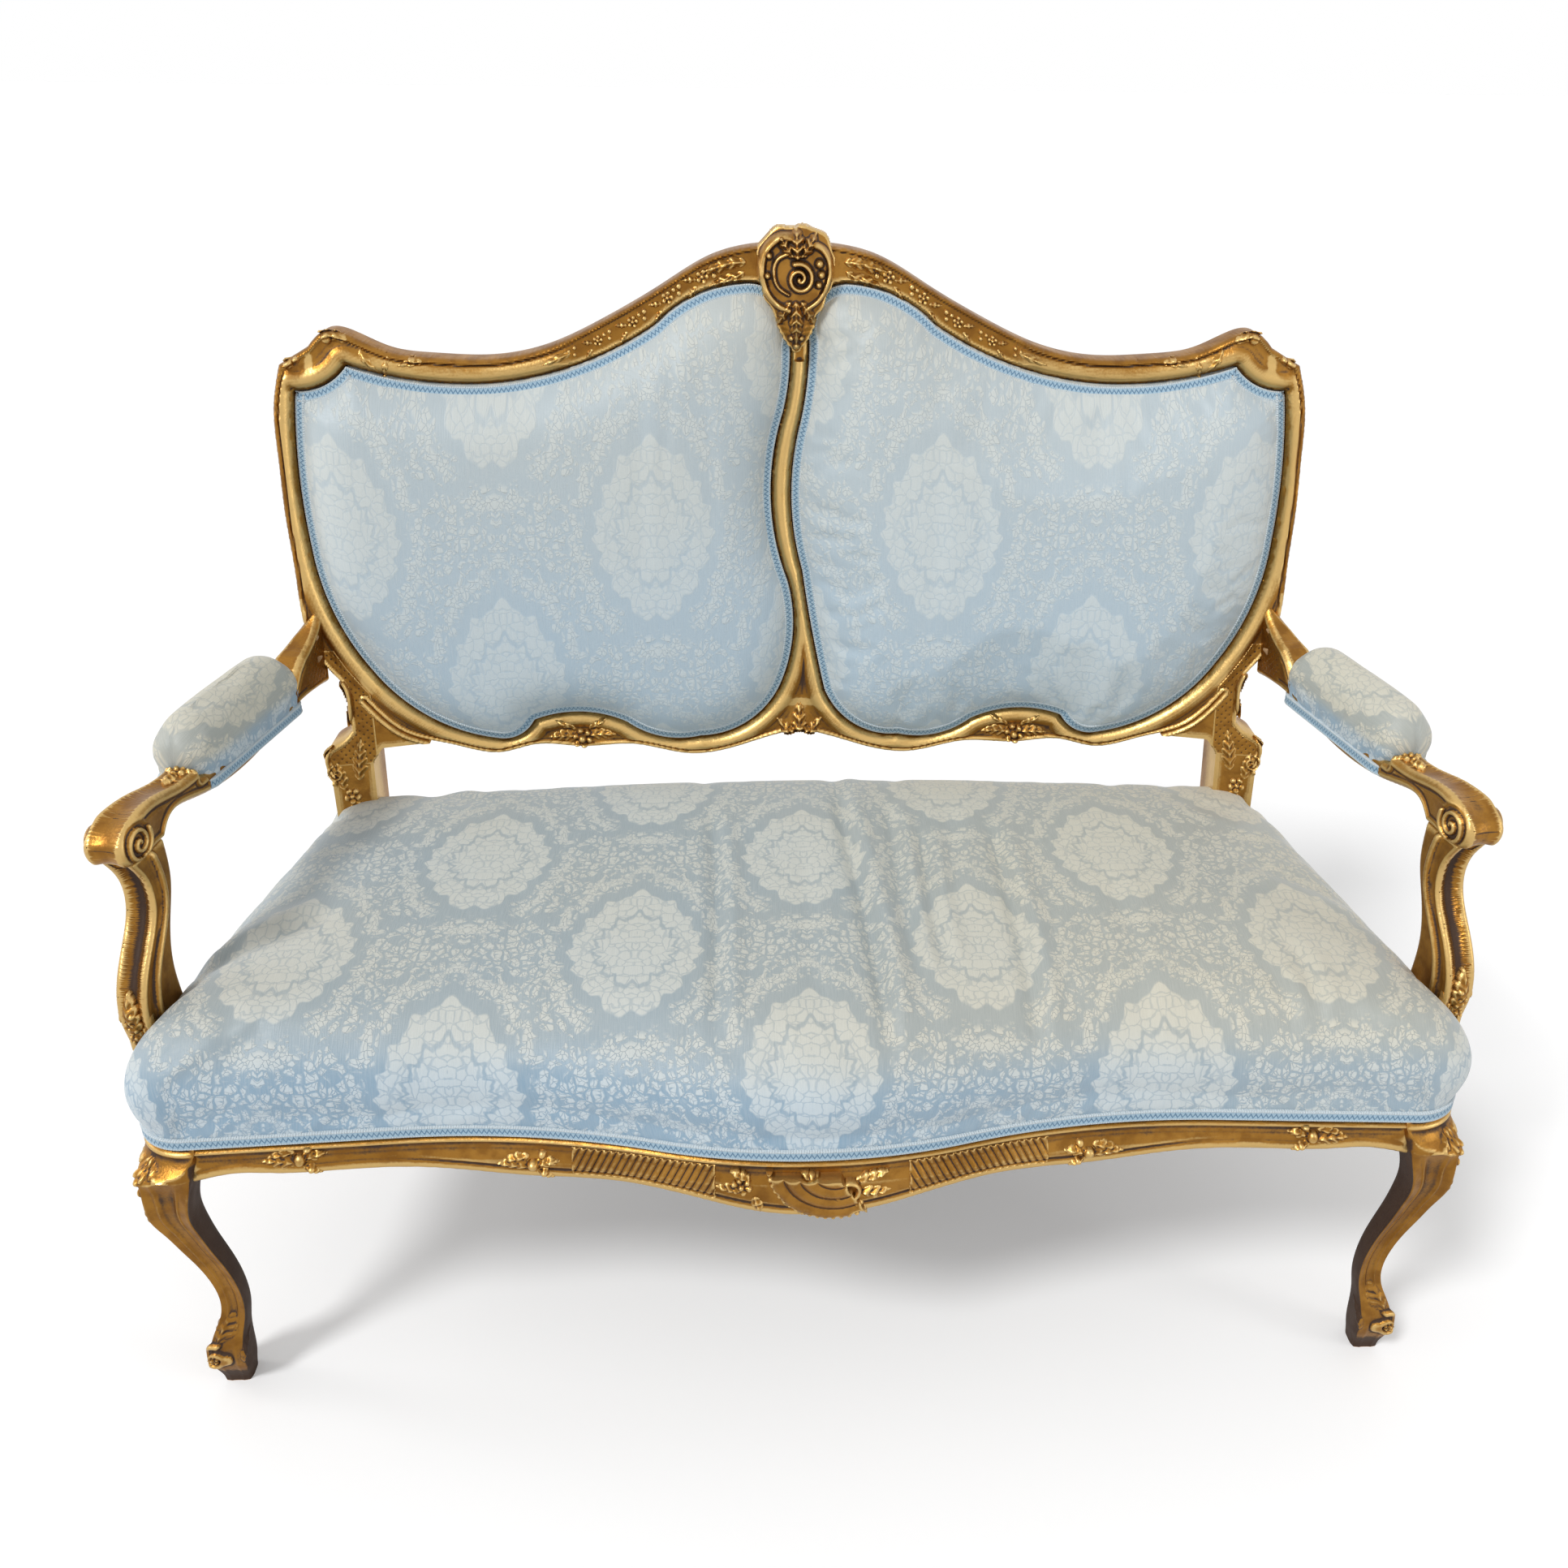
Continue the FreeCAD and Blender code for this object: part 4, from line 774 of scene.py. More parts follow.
# Carving of the apron
def clasp(c, z, w):
    """Leaves and pearls on the apron's bead, at an arc length."""
    return relief((leaf, (c + w * 2, z - 6), -70 * w, 34, 17, 5.0, 4, 0.25 * w),
                  (leaf, (c + w * 4, z + 6), -100 * w, 27, 12, 4.2, 3),
                  (leaf, (c - w * 2, z - 2), 64 * w, 24, 14, 5.5, 3, -0.25 * w),
                  (leaf, (c - w * 2, z - 8), 118 * w, 20, 11, 4.5, 3), (bead, (c, z - 2), 6.0, 8.0),
                  (bead, (c - w * 10, z - 12), 4.0, 5.5), (bead, (c - w * 9, z + 9), 4.2, 5.5))


def reeds(side):
    def field(s, v):
        low = near_apron.distance(s, v)
        inside = (low > 8.5) & (v < 319) & (np.abs(s) > 94) & (np.abs(s) < 238)
        return np.where(inside, 2.3 * np.abs(np.cos(math.pi * (s + 0.5 * v * side) / 7.4)) ** 0.7, OUT)
    return field


SHELL_LEAVES = [(flower, (-68, 299), 11, 8.0, 6), (leaf, (-62, 296), 100, 32, 16, 6.0, 4, 0.2),
                (leaf, (-60, 306), 62, 22, 12, 5.5, 3), (leaf, (-56, 286), 196, 20, 14, 6.0, 3),
                (stem, volute((34, 296), 13, 1.5, 200, 1), 6.0, 9.0, 0.2),
                (leaf, (42, 292), -104, 34, 17, 6.5, 4, -0.2), (leaf, (40, 302), -72, 36, 13, 5.5, 4),
                (leaf, (36, 284), -142, 28, 14, 6.0, 3), (bead, (26, 306), 4.5, 10.0),
                (leaf, (14, 304), 70, 30, 12, 9.0, 4, 0.2), (bead, (60, 286), 4.0, 6.0)]


def rocaille(s, v):
    """Shell whose ribs sweep round its upper right, edged with pearls, between two leaf clusters."""
    cx, cz = 22.0, 322.0
    rho = np.hypot(s - cx, (v - cz) * 1.05)
    th = np.degrees(np.arctan2(-(v - cz), -(s - cx)))
    edge = 67.0 - 0.10 * np.abs(th - 50) + 1.2 * np.cos(np.radians(th) * 18)
    body = (rho < edge) & (th > -4) & (th < 118) & (v < 313)
    rib = 3.4 + 3.4 * np.abs(np.sin(math.pi * (rho - 6) / 15.0)) ** 0.8 + 5 * smooth(rho, 66, 20)
    pearls = [(bead, (cx - 63.5 * math.cos(a), cz - 60.5 * math.sin(a)), 3.2, 6.5)
              for a in np.radians(np.arange(4, 116, 7.0))]
    return top(s, v, np.where(body, rib, OUT), *pearls, *SHELL_LEAVES)


def on_bow(s, z, h):
    x, y, nx, ny = edge_at(s)
    h = np.where(h > 0, h + 1.5, -3.0)
    return cols(x + nx * h, y + ny * h, z)


carving("apron_shell_carved", on_bow, (-98, 82, 250, 318), rocaille, ["apron_shell"])
for i, (x, z) in enumerate(((-496, 312), (-272, 300), (276, 299), (501, 312))):
    c = s_of(x)
    carving(f"apron_clasp_{i + 1}", on_ring(apron_height), (c - 38, c + 38, z - 30, min(z + 24, 326)),
            clasp(c, z, 1 if x > 0 else -1))
for side, tag in SIDES:
    box = (*span(side, 92, 240), 276, 322)
    carving("apron_reeds_" + tag, on_ring(apron_height), box, reeds(side), under=1.5)


# Front legs
LEG = [(330, 622, 52, 64, 70), (316, 622, 51, 60, 68), (300, 623, 50, 54, 62), (275, 625, 42, 45, 50),
       (250, 627, 41, 40, 43), (225, 622, 43, 34, 36), (200, 616, 46, 30, 32), (175, 609, 49, 27, 29),
       (150, 603, 51, 25, 27), (125, 600, 52, 24, 26), (100, 602, 52, 26, 28), (78, 609, 50, 33, 33),
       (50, 615, 48, 40, 41), (26, 616, 50, 38, 38), (8, 616, 53, 31, 31), (0, 616, 53, 29, 29)]
leg_rings = spline(LEG, 1.5)
leg_rings = leg_rings[np.argsort(-leg_rings[:, 0])]
LEG_N = 200


# Knee flowers and husks, then the toe's scroll: u runs round from the front outer corner, v is the height
LEG_LEAVES = [(flower, (4, 306), 12, 5.0), (flower, (18, 282), 9, 4.5, 5, 1.0), (bead, (6, 285), 4.5, 4.5),
              (leaf, (12, 300), 200, 34, 15, 4.5, 4, -0.2), (leaf, (20, 312), -112, 30, 13, 4.0, 3),
              (leaf, (8, 278), 184, 52, 19, 4.0, 5, 0.05), (leaf, (30, 300), 172, 36, 14, 3.6, 4),
              (bead, (27, 292), 3.5, 3.8), (leaf, (-6, 312), 120, 22, 10, 3.4, 3),
              (stem, volute((-6, 46), 17, 1.4, 100, -1), 7.0, 5.0, 0.3), (flower, (-6, 46), 7.5, 6.0, 6),
              (leaf, (-8, 64), 4, 36, 17, 3.2, 4), (leaf, (20, 48), -20, 34, 15, 3.0, 4),
              (leaf, (-30, 40), 20, 34, 15, 3.0, 4)]
near_edge = Near([EDGE], 1.0)
EDGE_OUT = right_of(unit(np.gradient(near_edge.pts, axis=0)))


def front_leg(side, tag):
    phi = np.linspace(-math.pi, math.pi, LEG_N + 1)[:-1]
    deg = np.degrees(phi)
    rings, shade = [], []
    for z, x, y, w, d in leg_rings:
        dx, dy = rounded(w, d, phi, 3.6)
        size = min(w, d) / 40.0
        ridge = sum(bell(deg - c, 8.0) for c in (-135, -45, 45))
        half = [np.sin(np.clip((deg - c) / 90, 0, 1) * math.pi) ** 2 for c in (-135, -45)]
        wave = sum(bell(deg - c, 6.0) for c in (-104, -76))
        fade = smooth(z, 60, 110)
        down = smooth(RAIL_TOP - z, 22, 60)
        off = (3.4 * ridge - 7.0 * half[0] - 4.5 * half[1] * (1 - down * (z > 225)) + 2.2 * wave) * size
        lip = smooth(deg, -165, -140) * (1 - smooth(deg, 55, 75))
        off = off * (0.25 + 0.75 * fade) * down + table(RAIL_TOP - z, APRON_TOP) * (1 - down) * lip
        p = cols(x + dx, y + dy)
        idx = near_edge.find(p)[0]
        proud = np.sum((p - near_edge.pts[idx]) * EDGE_OUT[idx], 1)
        spare = np.maximum(proud - 1.0 - 40 * smooth(RAIL_TOP - z, 0, 60), 0) * (z > 265)
        p = p - EDGE_OUT[idx] * spare[:, None]
        across = np.radians(deg + 45) * (0.5 * (w + d) / 2)
        off = off + np.maximum(top(across, np.full(LEG_N, z), *LEG_LEAVES), 0.0)
        rings.append(cols(side * (p[:, 0] + np.cos(phi) * off), p[:, 1] + np.sin(phi) * off,
                          np.full(LEG_N, max(z, 0.0))))
        # painted shade on the inner face below the rail; the foot also darker towards the floor
        inner = smooth(np.abs(deg), 128, 146)
        shade.append(-0.55 * inner * smooth(322 - z, 0, 26) - 0.30 * smooth(30 - z, 0, 22)
                     - 0.1 * smooth(90 - z, 0, 40))
    tube("front_leg_" + tag + "_carved", rings, side, ["front_leg_" + tag], np.concatenate(shade))


for side, tag in SIDES:
    front_leg(side, tag)


# Arms, drawn from the side in a plane that splays outward to the front
SPLAY = math.radians(11.0)
ARM_ROOT = [(545, 706), (528, 680), (505, 662), (480, 651)]
ARM_NOSE = [(252, 624), (215, 625), (180, 631), (150, 632), (122, 624), (108, 607), (113, 592), (122, 588)]
ARM_UNDER = [(176, 588), (190, 601), (232, 600), (270, 592), (336, 588), (408, 596), (455, 604), (515, 603)]
SUPPORT_FRONT = [(122, 588), (138, 560), (138, 532), (118, 500), (97, 470), (88, 440), (92, 405)]
SUPPORT_REAR = [(150, 405), (146, 440), (146, 470), (158, 510), (173, 545), (176, 588)]
ARM_G = 1.1
ARM_ROUND = 7.0   # radius of the boards' edges
ARM_ROWS = 14     # rows of faces across their rims


def splayed(p, side):
    """From the side plane (x across, y, z) to the settee."""
    x, y = p[:, 0], p[:, 1] - 545.0
    c, s = math.cos(SPLAY), math.sin(SPLAY)
    return cols(side * (543.0 + x * c - y * s), 545.0 + x * s + y * c, p[:, 2])


def side_board(name, poly, width, side, swap, face, edge):
    """Board drawn from the side, with rounded edges, carved faces and shaped rims."""
    p = np.array(poly, float)
    box = (p[:, 0].min() - 2, p[:, 0].max() + 2, p[:, 1].min() - 2, p[:, 1].max() + 2)
    plate = Plate([p], [], box, ARM_G)
    d = Near([closed(p)], 0.8).distance(plate.x, plate.z)
    fall = ARM_ROUND - np.sqrt(np.clip(ARM_ROUND ** 2 - np.clip(ARM_ROUND - d, 0, ARM_ROUND) ** 2, 0, None))
    lo, hi = width(plate.x, plate.z)
    add = face(plate.x, plate.z, d)
    inner = cols(lo + fall - add, plate.x, plate.z)
    outer = cols(hi - fall + add, plate.x, plate.z)
    n = len(plate.p)
    e = plate.edges
    normal = np.zeros((n, 2))
    along = plate.p[e[:, 1]] - plate.p[e[:, 0]]
    for k in (0, 1):
        np.add.at(normal, e[:, k], right_of(along))
    normal = unit(pairs_mean(normal, e, 4))
    rim = np.nonzero(plate.rim)[0]
    place = np.full(n, -1)
    place[rim] = np.arange(len(rim))
    verts = [inner, outer]
    for j in range(1, ARM_ROWS):
        t = j / ARM_ROWS
        q = inner[rim] * (1 - t) + outer[rim] * t
        q[:, 1:] += normal[rim] * edge(plate.x[rim], plate.z[rim], t)[:, None]
        verts.append(q)
    chain = [e] + [2 * n + j * len(rim) + place[e] for j in range(ARM_ROWS - 1)] + [e + n]
    faces = [plate.quads[:, ::-1], plate.quads + n]
    for a, b in zip(chain[:-1], chain[1:]):
        faces.append(cols(a[:, 0], a[:, 1], b[:, 1], b[:, 0]))
    faces = np.vstack(faces)
    faces = (faces if side > 0 else faces[:, ::-1]).tolist()
    gilt(make(name, splayed(np.vstack(verts), side), faces, 50), *swap)


KNUCKLE = (134, 607)


def arm_width(y, z):
    """Inner and outer face of the arm, across from its plane."""
    lo = -5.0 * np.exp(-((y - 134) ** 2 + (z - 609) ** 2) / 700.0)
    hi = 36.0 + 12.0 * smooth(y, 262, 300) * (1 - smooth(y, 430, 464))
    upper = smooth(z, 655, 704) * smooth(y, 500, 520)
    root = np.interp(y, [430, 480, 545], [44, 34, 17]) * (1 - 0.75 * upper)
    hi = np.where(y > 452, root, hi)
    return lo, hi - lo


def arm_face(y, z, d):
    """Incised trellis at the root, a moulded edge, and the knuckle's spiral."""
    root = smooth(y, 476, 484) * smooth(d, 7, 9)
    line = 1.3 * bell(d - 5.5, 2.2) - 1.6 * bell(d - 10, 2.0)
    rho = np.hypot(y - KNUCKLE[0], z - KNUCKLE[1])
    line = line * (1 - root) * ((y < 262) | (y > 455)) * smooth(rho, 20, 26)
    h = root * (0.5 - 1.5 * diamonds(y, z)) + line
    spiral = stem(y, z, volute(KNUCKLE, 19, 1.9, 20, -1), 5.2, 3.2, 0.2)
    cup = -2.0 * smooth(rho, 22, 17)
    return h + np.where(spiral > OUT, spiral + 0.4 * cup, cup)


def support_face(y, z, d):
    """Raised fillet that runs down behind the hollow nose."""
    fillet = stem(y, z, [(150, 592), (156, 560), (153, 532), (135, 502), (115, 472), (106, 440), (108, 400)],
                  7.0, 3.0, 0.0)
    front = np.interp(z, [392, 440, 470, 500, 532, 560, 592], [108, 106, 115, 135, 153, 156, 150])
    return np.where(fillet > OUT, fillet, 0) - 2.0 * smooth(front - y, 2, 8) * smooth(d, 1, 5)


arm_poly = np.vstack([spline(ARM_ROOT), [(466, 642), (452, 628), (440, 614), (252, 614)], spline(ARM_NOSE),
                      spline(ARM_UNDER), [(530, 601)]])
support_poly = np.vstack([spline(SUPPORT_FRONT), [(92, 392), (150, 392)], spline(SUPPORT_REAR)])
SUPPORT_FLOWERS = [(leaf, (4, 412), 0, 50, 22, 4.5, 5), (leaf, (-6, 408), 22, 36, 14, 3.8, 4),
                   (flower, (6, 424), 8.5, 6.0), (leaf, (11, 412), -14, 40, 12, 3.8, 4),
                   (bead, (0, 440), 3.6, 5.5), (flower, (6, 408), 7.5, 6.0),
                   (leaf, (4, 420), 178, 24, 20, 4.0, 3)]
NOSE_LEAVES = [(flower, (0, 2), 9, 5.5), (leaf, (0, -2), 180, 22, 14, 4.0, 3),
               (leaf, (5, 4), -70, 14, 9, 4.0, 3), (leaf, (-5, 4), 70, 14, 9, 4.0, 3)]


def on_support(side):
    """Front of the foot of the arm support."""
    def surface(u, v, h):
        y = np.interp(v, [392, 405, 440, 470, 500], [92, 92, 88, 97, 118]) + (u / 18.0) ** 2 * 5 - h
        return splayed(cols(18.0 + u, y, v), side)
    return surface


def on_nose(side):
    """Top of the arm before its pad."""
    def surface(u, v, h):
        y = 240.0 + v
        z = np.interp(y, [215, 252, 262], [625, 624, 622]) + h - (u / 16.0) ** 2 * 3
        return splayed(cols(18.0 + u, y, z), side)
    return surface


for side, tag in SIDES:
    side_board("arm_" + tag + "_carved", arm_poly, arm_width, side, ["arm_" + tag], arm_face,
               lambda y, z, t: -2.6 * math.sin(math.pi * t) * ((y < 225) & (z > 588)))
    side_board("arm_support_" + tag + "_carved", support_poly, lambda y, z: (0.0, 36.0), side,
               ["arm_support_" + tag], support_face,
               lambda y, z, t: -6.5 * math.sin(math.pi * t) ** 2 * (y < 142))
    for name, surface, box, leaves in (("support_flowers_", on_support, (-16, 16, 394, 466), SUPPORT_FLOWERS),
                                       ("nose_leaf_", on_nose, (-17, 17, -24, 20), NOSE_LEAVES)):
        carving(name + tag, surface(side), box, relief(*leaves), under=6.0, side=side)


# Upholstery
def remeshed(verts, faces, voxel):
    """Even quads over a closed shape, in design millimetres."""
    ob = loose("rough", verts, faces)
    mod = ob.modifiers.new("even", "REMESH")
    mod.mode = "VOXEL"
    mod.voxel_size = voxel * 0.001
    v, f, edges = evaluated(ob)
    discard(ob)
    for _ in range(3):
        v = 0.5 * v + 0.5 * pairs_mean(v, edges, 1)
    return v, f


def evaluated(ob):
    got = ob.evaluated_get(bpy.context.evaluated_depsgraph_get())
    me = got.to_mesh()
    v = np.empty(3 * len(me.vertices))
    me.vertices.foreach_get("co", v)
    e = np.empty(2 * len(me.edges), np.int32)
    me.edges.foreach_get("vertices", e)
    f = [list(p.vertices) for p in me.polygons]
    got.to_mesh_clear()
    return v.reshape(-1, 3) * 1000.0, f, e.reshape(-1, 2)


def discard(ob):
    me = ob.data
    bpy.data.objects.remove(ob)
    bpy.data.meshes.remove(me)


CLOTH_FRAMES = 20


def inflate(verts, faces, pinned, pressure, cap):
    """Cloth under inner pressure, held where pinned; no point moves further than the cap."""
    ob = loose("slack", verts, faces)
    group = ob.vertex_groups.new(name="held")
    group.add(np.nonzero(pinned)[0].tolist(), 1.0, "REPLACE")
    mod = ob.modifiers.new("cloth", "CLOTH")
    mod.settings.quality = 4
    mod.settings.mass = 0.25
    mod.settings.use_pressure = True
    mod.settings.uniform_pressure_force = pressure
    mod.settings.effector_weights.gravity = 0.0
    mod.settings.vertex_group_mass = "held"
    mod.settings.shrink_min = -0.012
    mod.collision_settings.use_collision = False
    mod.point_cache.frame_start = 1
    mod.point_cache.frame_end = CLOTH_FRAMES
    for frame_number in range(1, CLOTH_FRAMES + 1):
        bpy.context.scene.frame_set(frame_number)
    moved = evaluated(ob)[0] - verts
    bpy.context.scene.frame_set(1)
    discard(ob)
    size = np.linalg.norm(moved, axis=1)[:, None]
    return verts + moved * np.minimum(1.0, cap / np.maximum(size, 1e-6))


def finer(ob):
    mod = ob.modifiers.new("finer", "SUBSURF")
    mod.levels = mod.render_levels = 1


BRAID_WIDE = 12.0
BRAID_PROFILE = [(-0.5, -0.6), (-0.5, 0.5), (-0.42, 1.0), (-0.3, 0.7), (0.0, 0.9), (0.3, 0.7), (0.42, 1.0),
                 (0.5, 0.5), (0.5, -0.6)]


def braid(name, pts, side_dir, up_dir, swap, wide=BRAID_WIDE, thick=2.6):
    """Woven band along a closed path, with unit side and unit up directions at each point."""
    pts, side_dir, up_dir = (closed(a) for a in (pts, side_dir, up_dir))
    along = run(pts)
    verts, uv = [], []
    for a, b in BRAID_PROFILE:
        verts.append(pts + side_dir * (a * wide) + up_dir * (b * thick))
        uv.append(cols(along, np.full(len(pts), (a + 0.5) * BRAID_WIDE)))
    idx = np.arange(len(verts) * len(pts)).reshape(len(verts), -1)
    faces = np.stack([idx[:-1, :-1], idx[:-1, 1:], idx[1:, 1:], idx[1:, :-1]], 2).reshape(-1, 4)
    ob = make(name, np.vstack(verts), faces.tolist(), 0, np.vstack(uv))
    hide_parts(swap)
    braids.append(ob)


def inset_path(curve, inset):
    """Closed plan curve moved to its inside."""
    c = even(closed(curve), 3.0)[:-1]
    area = np.sum(c[:, 0] * np.roll(c[:, 1], -1) - np.roll(c[:, 0], -1) * c[:, 1])
    nrm = right_of(unit(np.roll(c, -1, 0) - np.roll(c, 1, 0))) * (-1 if area > 0 else 1)
    return c + nrm * inset, nrm


def fold_lines(x, y, folds):
    """Drag folds: each runs between two points, a valley with a soft ridge beside it."""
    out = np.zeros(len(x))
    for x0, y0, x1, y1, width, depth in folds:
        dx, dy = x1 - x0, y1 - y0
        length = math.hypot(dx, dy)
        t = ((x - x0) * dx + (y - y0) * dy) / length ** 2
        q = ((x - x0) * -dy + (y - y0) * dx) / length + 5 * np.sin(3.0 * t + x0)
        fade = smooth(t, 0, 0.22) * (1 - smooth(t, 0.82, 1))
        out += depth * fade * (0.7 * bell(q - 1.9 * width, 1.2 * width) - bell(q, width))
    return out


BACK_RISE = 44.0
BACK_EDGE = 70.0
BACK_FOLDS = [(-170, 985, -175, 700, 9, 1.2), (-110, 990, -100, 720, 8, 1.1), (-140, 985, -150, 800, 6, 0.9),
              (160, 960, 150, 640, 10, 1.1), (215, 930, 208, 700, 8, 0.9), (330, 640, 345, 545, 9, 1.2),
              (290, 660, 300, 560, 8, 1.0), (480, 900, 440, 720, 12, 1.0), (-470, 900, -430, 740, 12, 1.0)]


def back_rise(d):
    return 1 - (1 - np.clip(d / BACK_EDGE, 0, 1)) ** 2.6


def panel_plate(curve, grid):
    return Plate([curve], [], (curve[:, 0].min() - 4, curve[:, 0].max() + 4, 512, 1016), grid)


def back_panel(side, tag):
    curve = OPEN[side]
    plate = panel_plate(curve, 5.0)
    near = Near([closed(curve)])
    d = near.distance(plate.x, plate.z)
    dome = np.minimum(d, 60.0)
    for _ in range(240):
        dome = np.where(plate.rim, 0.0, pairs_mean(dome[:, None], plate.pairs, 1)[:, 0] + 0.12)
    h = BACK_RISE * (0.62 * back_rise(d) + 0.38 * dome / dome.max()) * smooth(d, -2, 6)
    h = h + fold_lines(plate.x, plate.z, BACK_FOLDS) * smooth(d, 8, 30)
    slope = (PLAN_R - math.sqrt(PLAN_R ** 2 - 552.0 ** 2)) / 552.0
    plane = BACK_Y + 6.0 + (plate.z - BACK_Z) * TAN_RAKE - slope * np.abs(plate.x)
    verts = np.vstack([cols(plate.x, plane - 1.0 - h, plate.z), cols(plate.x, plane + 13.0, plate.z)])
    faces = board(plate.quads, plate.edges, len(plate.p))
    held = np.concatenate([d < 13, np.ones(len(d), bool)])
    verts = inflate(verts, faces, held, 3.0, 8.0)
    uv = cols(plate.x + side * 9.0, plate.z + 0.5 * h + 60.0)
    # painted shade: bluer towards the bottom; painted light: creamier at the top middle
    tint = (0.45 + 0.35 * smooth(plate.z, 900, 560)
            - 0.25 * smooth(plate.z, 880, 1000) * (np.abs(plate.x) < 260))
    ob = make("back_panel_" + tag, verts, faces, 0, np.vstack([uv, uv]), np.concatenate([tint, tint]))
    finer(ob)
    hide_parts("back_cover_" + tag, "back_stuffing_" + tag)
    back_cloths.append(ob)
    p, nrm = inset_path(curve, 7.0)
    hh = BACK_RISE * 0.62 * back_rise(near.distance(p[:, 0], p[:, 1]))
    py = BACK_Y + 5.0 + (p[:, 1] - BACK_Z) * TAN_RAKE - slope * np.abs(p[:, 0]) - hh
    flat = np.ones(len(p))
    side_dir = unit(cols(nrm[:, 0], -0.55 * flat, nrm[:, 1]))
    up_dir = cols(-nrm[:, 0] * 0.5, -0.87 * flat, -nrm[:, 1] * 0.5)
    braid("back_braid_" + tag, cols(p[:, 0], py - 1.0, p[:, 1]), side_dir, up_dir, "back_gimp_" + tag)


# Seat: rings of its plan along the crown's profile, made even and then swelled
SEAT_CROWN = [(330, 0), (344, 0), (354, -4), (368, -8), (384, -10), (400, -8), (412, -3), (423, 6), (432, 19),
              (440, 38), (447, 64), (452, 102), (456, 150), (458, 210), (459, 270)]
SEAT_FOLDS = [(-104, 470, -92, 30, 8, 7.5), (46, 520, 70, 15, 9, 11.0), (100, 490, 114, 100, 8, 7.5),
              (131, 400, 140, 120, 8, 7.0), (222, 430, 212, 10, 9, 8.0), (168, 470, 160, 200, 11, 2.6),
              (0, 400, 12, 60, 11, 2.0), (488, 180, 500, 15, 8, 3.6), (456, 140, 470, 10, 8, 3.2),
              (330, 320, 322, 50, 12, 2.0), (-300, 330, -290, 40, 13, 1.5), (-618, 150, -490, 255, 12, 7.0),
              (-470, 560, -380, 470, 13, 3.0), (-560, 110, -530, 15, 10, 2.6), (605, 230, 490, 335, 13, 2.6),
              (40, 590, 46, 430, 10, 3.0), (540, 420, 430, 470, 14, 2.0)]


def seat_cushion():
    step = 6.0
    profile = spline(SEAT_CROWN, step)
    base = seat_plan(0.0, step)
    n = len(base)
    drop = run(profile[::-1])[::-1]
    drop = np.maximum(0.0, drop - (270 - profile[:, 1]))
    verts = []
    for z, inset in profile:
        x, y = shrunk(base[:, 0], base[:, 1], inset)
        verts.append(cols(x, y, z + 9.0 * smooth(z, 345, 450) * (y - SEAT_MID) / SEAT_MID))
    verts, idx, faces = skin(verts)
    last = idx[-1]
    for i in range(n // 2):
        faces.append([last[i], last[i + 1], last[(n - i - 1) % n]] + ([last[n - i]] if i else []))
    faces.append(idx[0][::-1].tolist())
    v, f = remeshed(verts, faces, 6.5)
    near = Near([closed(base)])
    outward = right_of(unit(np.roll(near.pts, -4, 0) - np.roll(near.pts, 4, 0)))
    nrm = outward[near.find(v[:, :2])[0]]
    flat = np.interp(v[:, 2], profile[:, 0], drop)
    uv = v[:, :2] + nrm * flat[:, None]
    side_part = 1 - smooth(v[:, 2], 385, 440)
    # painted shade: bluer on the boxing towards the front; painted light: creamier towards the right
    tint = 0.42 - 0.30 * smooth(v[:, 0], -150, 420) + 0.5 * side_part * (v[:, 1] < 200)
    v = inflate(v, f, v[:, 2] < 345, 3.5, 9.0)
    v[:, 2] += fold_lines(v[:, 0], v[:, 1], SEAT_FOLDS) * smooth(v[:, 2], 400, 446)
    ripple = np.sin(v[:, 0] / 17.0) + 0.8 * np.sin(v[:, 0] / 9.3 + 1.0) + 0.6 * np.sin(v[:, 0] / 31.0 + 2.0)
    wave = ripple * smooth(v[:, 2], 345, 372) * (1 - smooth(v[:, 2], 405, 440)) * (v[:, 1] < 120)
    v[:, :2] += nrm * (0.9 * wave)[:, None]
    ob = make("seat_cushion", v, f, 0, uv, tint)
    finer(ob)
    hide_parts("seat_cover", "seat_stuffing")
    cloths.append(ob)


braids, cloths, back_cloths, sheets = [], [], [], []
seat_cushion()
for side, tag in SIDES:
    back_panel(side, tag)
s = np.arange(-EDGE_S[-1], EDGE_S[-1], 4.0)
x, y, nx, ny = edge_at(s)
still, one = 0 * s, 1 + 0 * s
braid("seat_braid", cols(x + nx * 0.6, y + ny * 0.6, 337.0 * one), cols(still, still, one),
      cols(nx, ny, still), "seat_gimp")


# Arm pads
PAD_STEPS = [(-3, 0), (8, 0), (20, -1.6), (34, -2.0), (46, -0.5), (56, 3.5), (64, 9), (70, 15), (73, 21),
             (75, 27)]
PAD_AT = (28.0, 361.0, 595.0)
PAD_N, PAD_BRAID_N = 140, 200


def pad_ring(inset, n):
    half_wide, half_long = 28.0 - inset, 107.0 - inset * 1.5
    r = min(24.0, half_wide - 0.5)
    pts = []
    for sx, sy, a0 in ((1, 1, 0), (-1, 1, 90), (-1, -1, 180), (1, -1, 270)):
        a = np.radians(np.linspace(a0, a0 + 90, 24))
        pts.append(cols(sx * (half_wide - r) + r * np.cos(a), sy * (half_long - r) + r * np.sin(a)))
    pts = np.vstack(pts)
    ring = even(closed(pts), 0.5)
    return ring[np.linspace(0, len(ring) - 1, n + 1).round().astype(int)[:-1]]


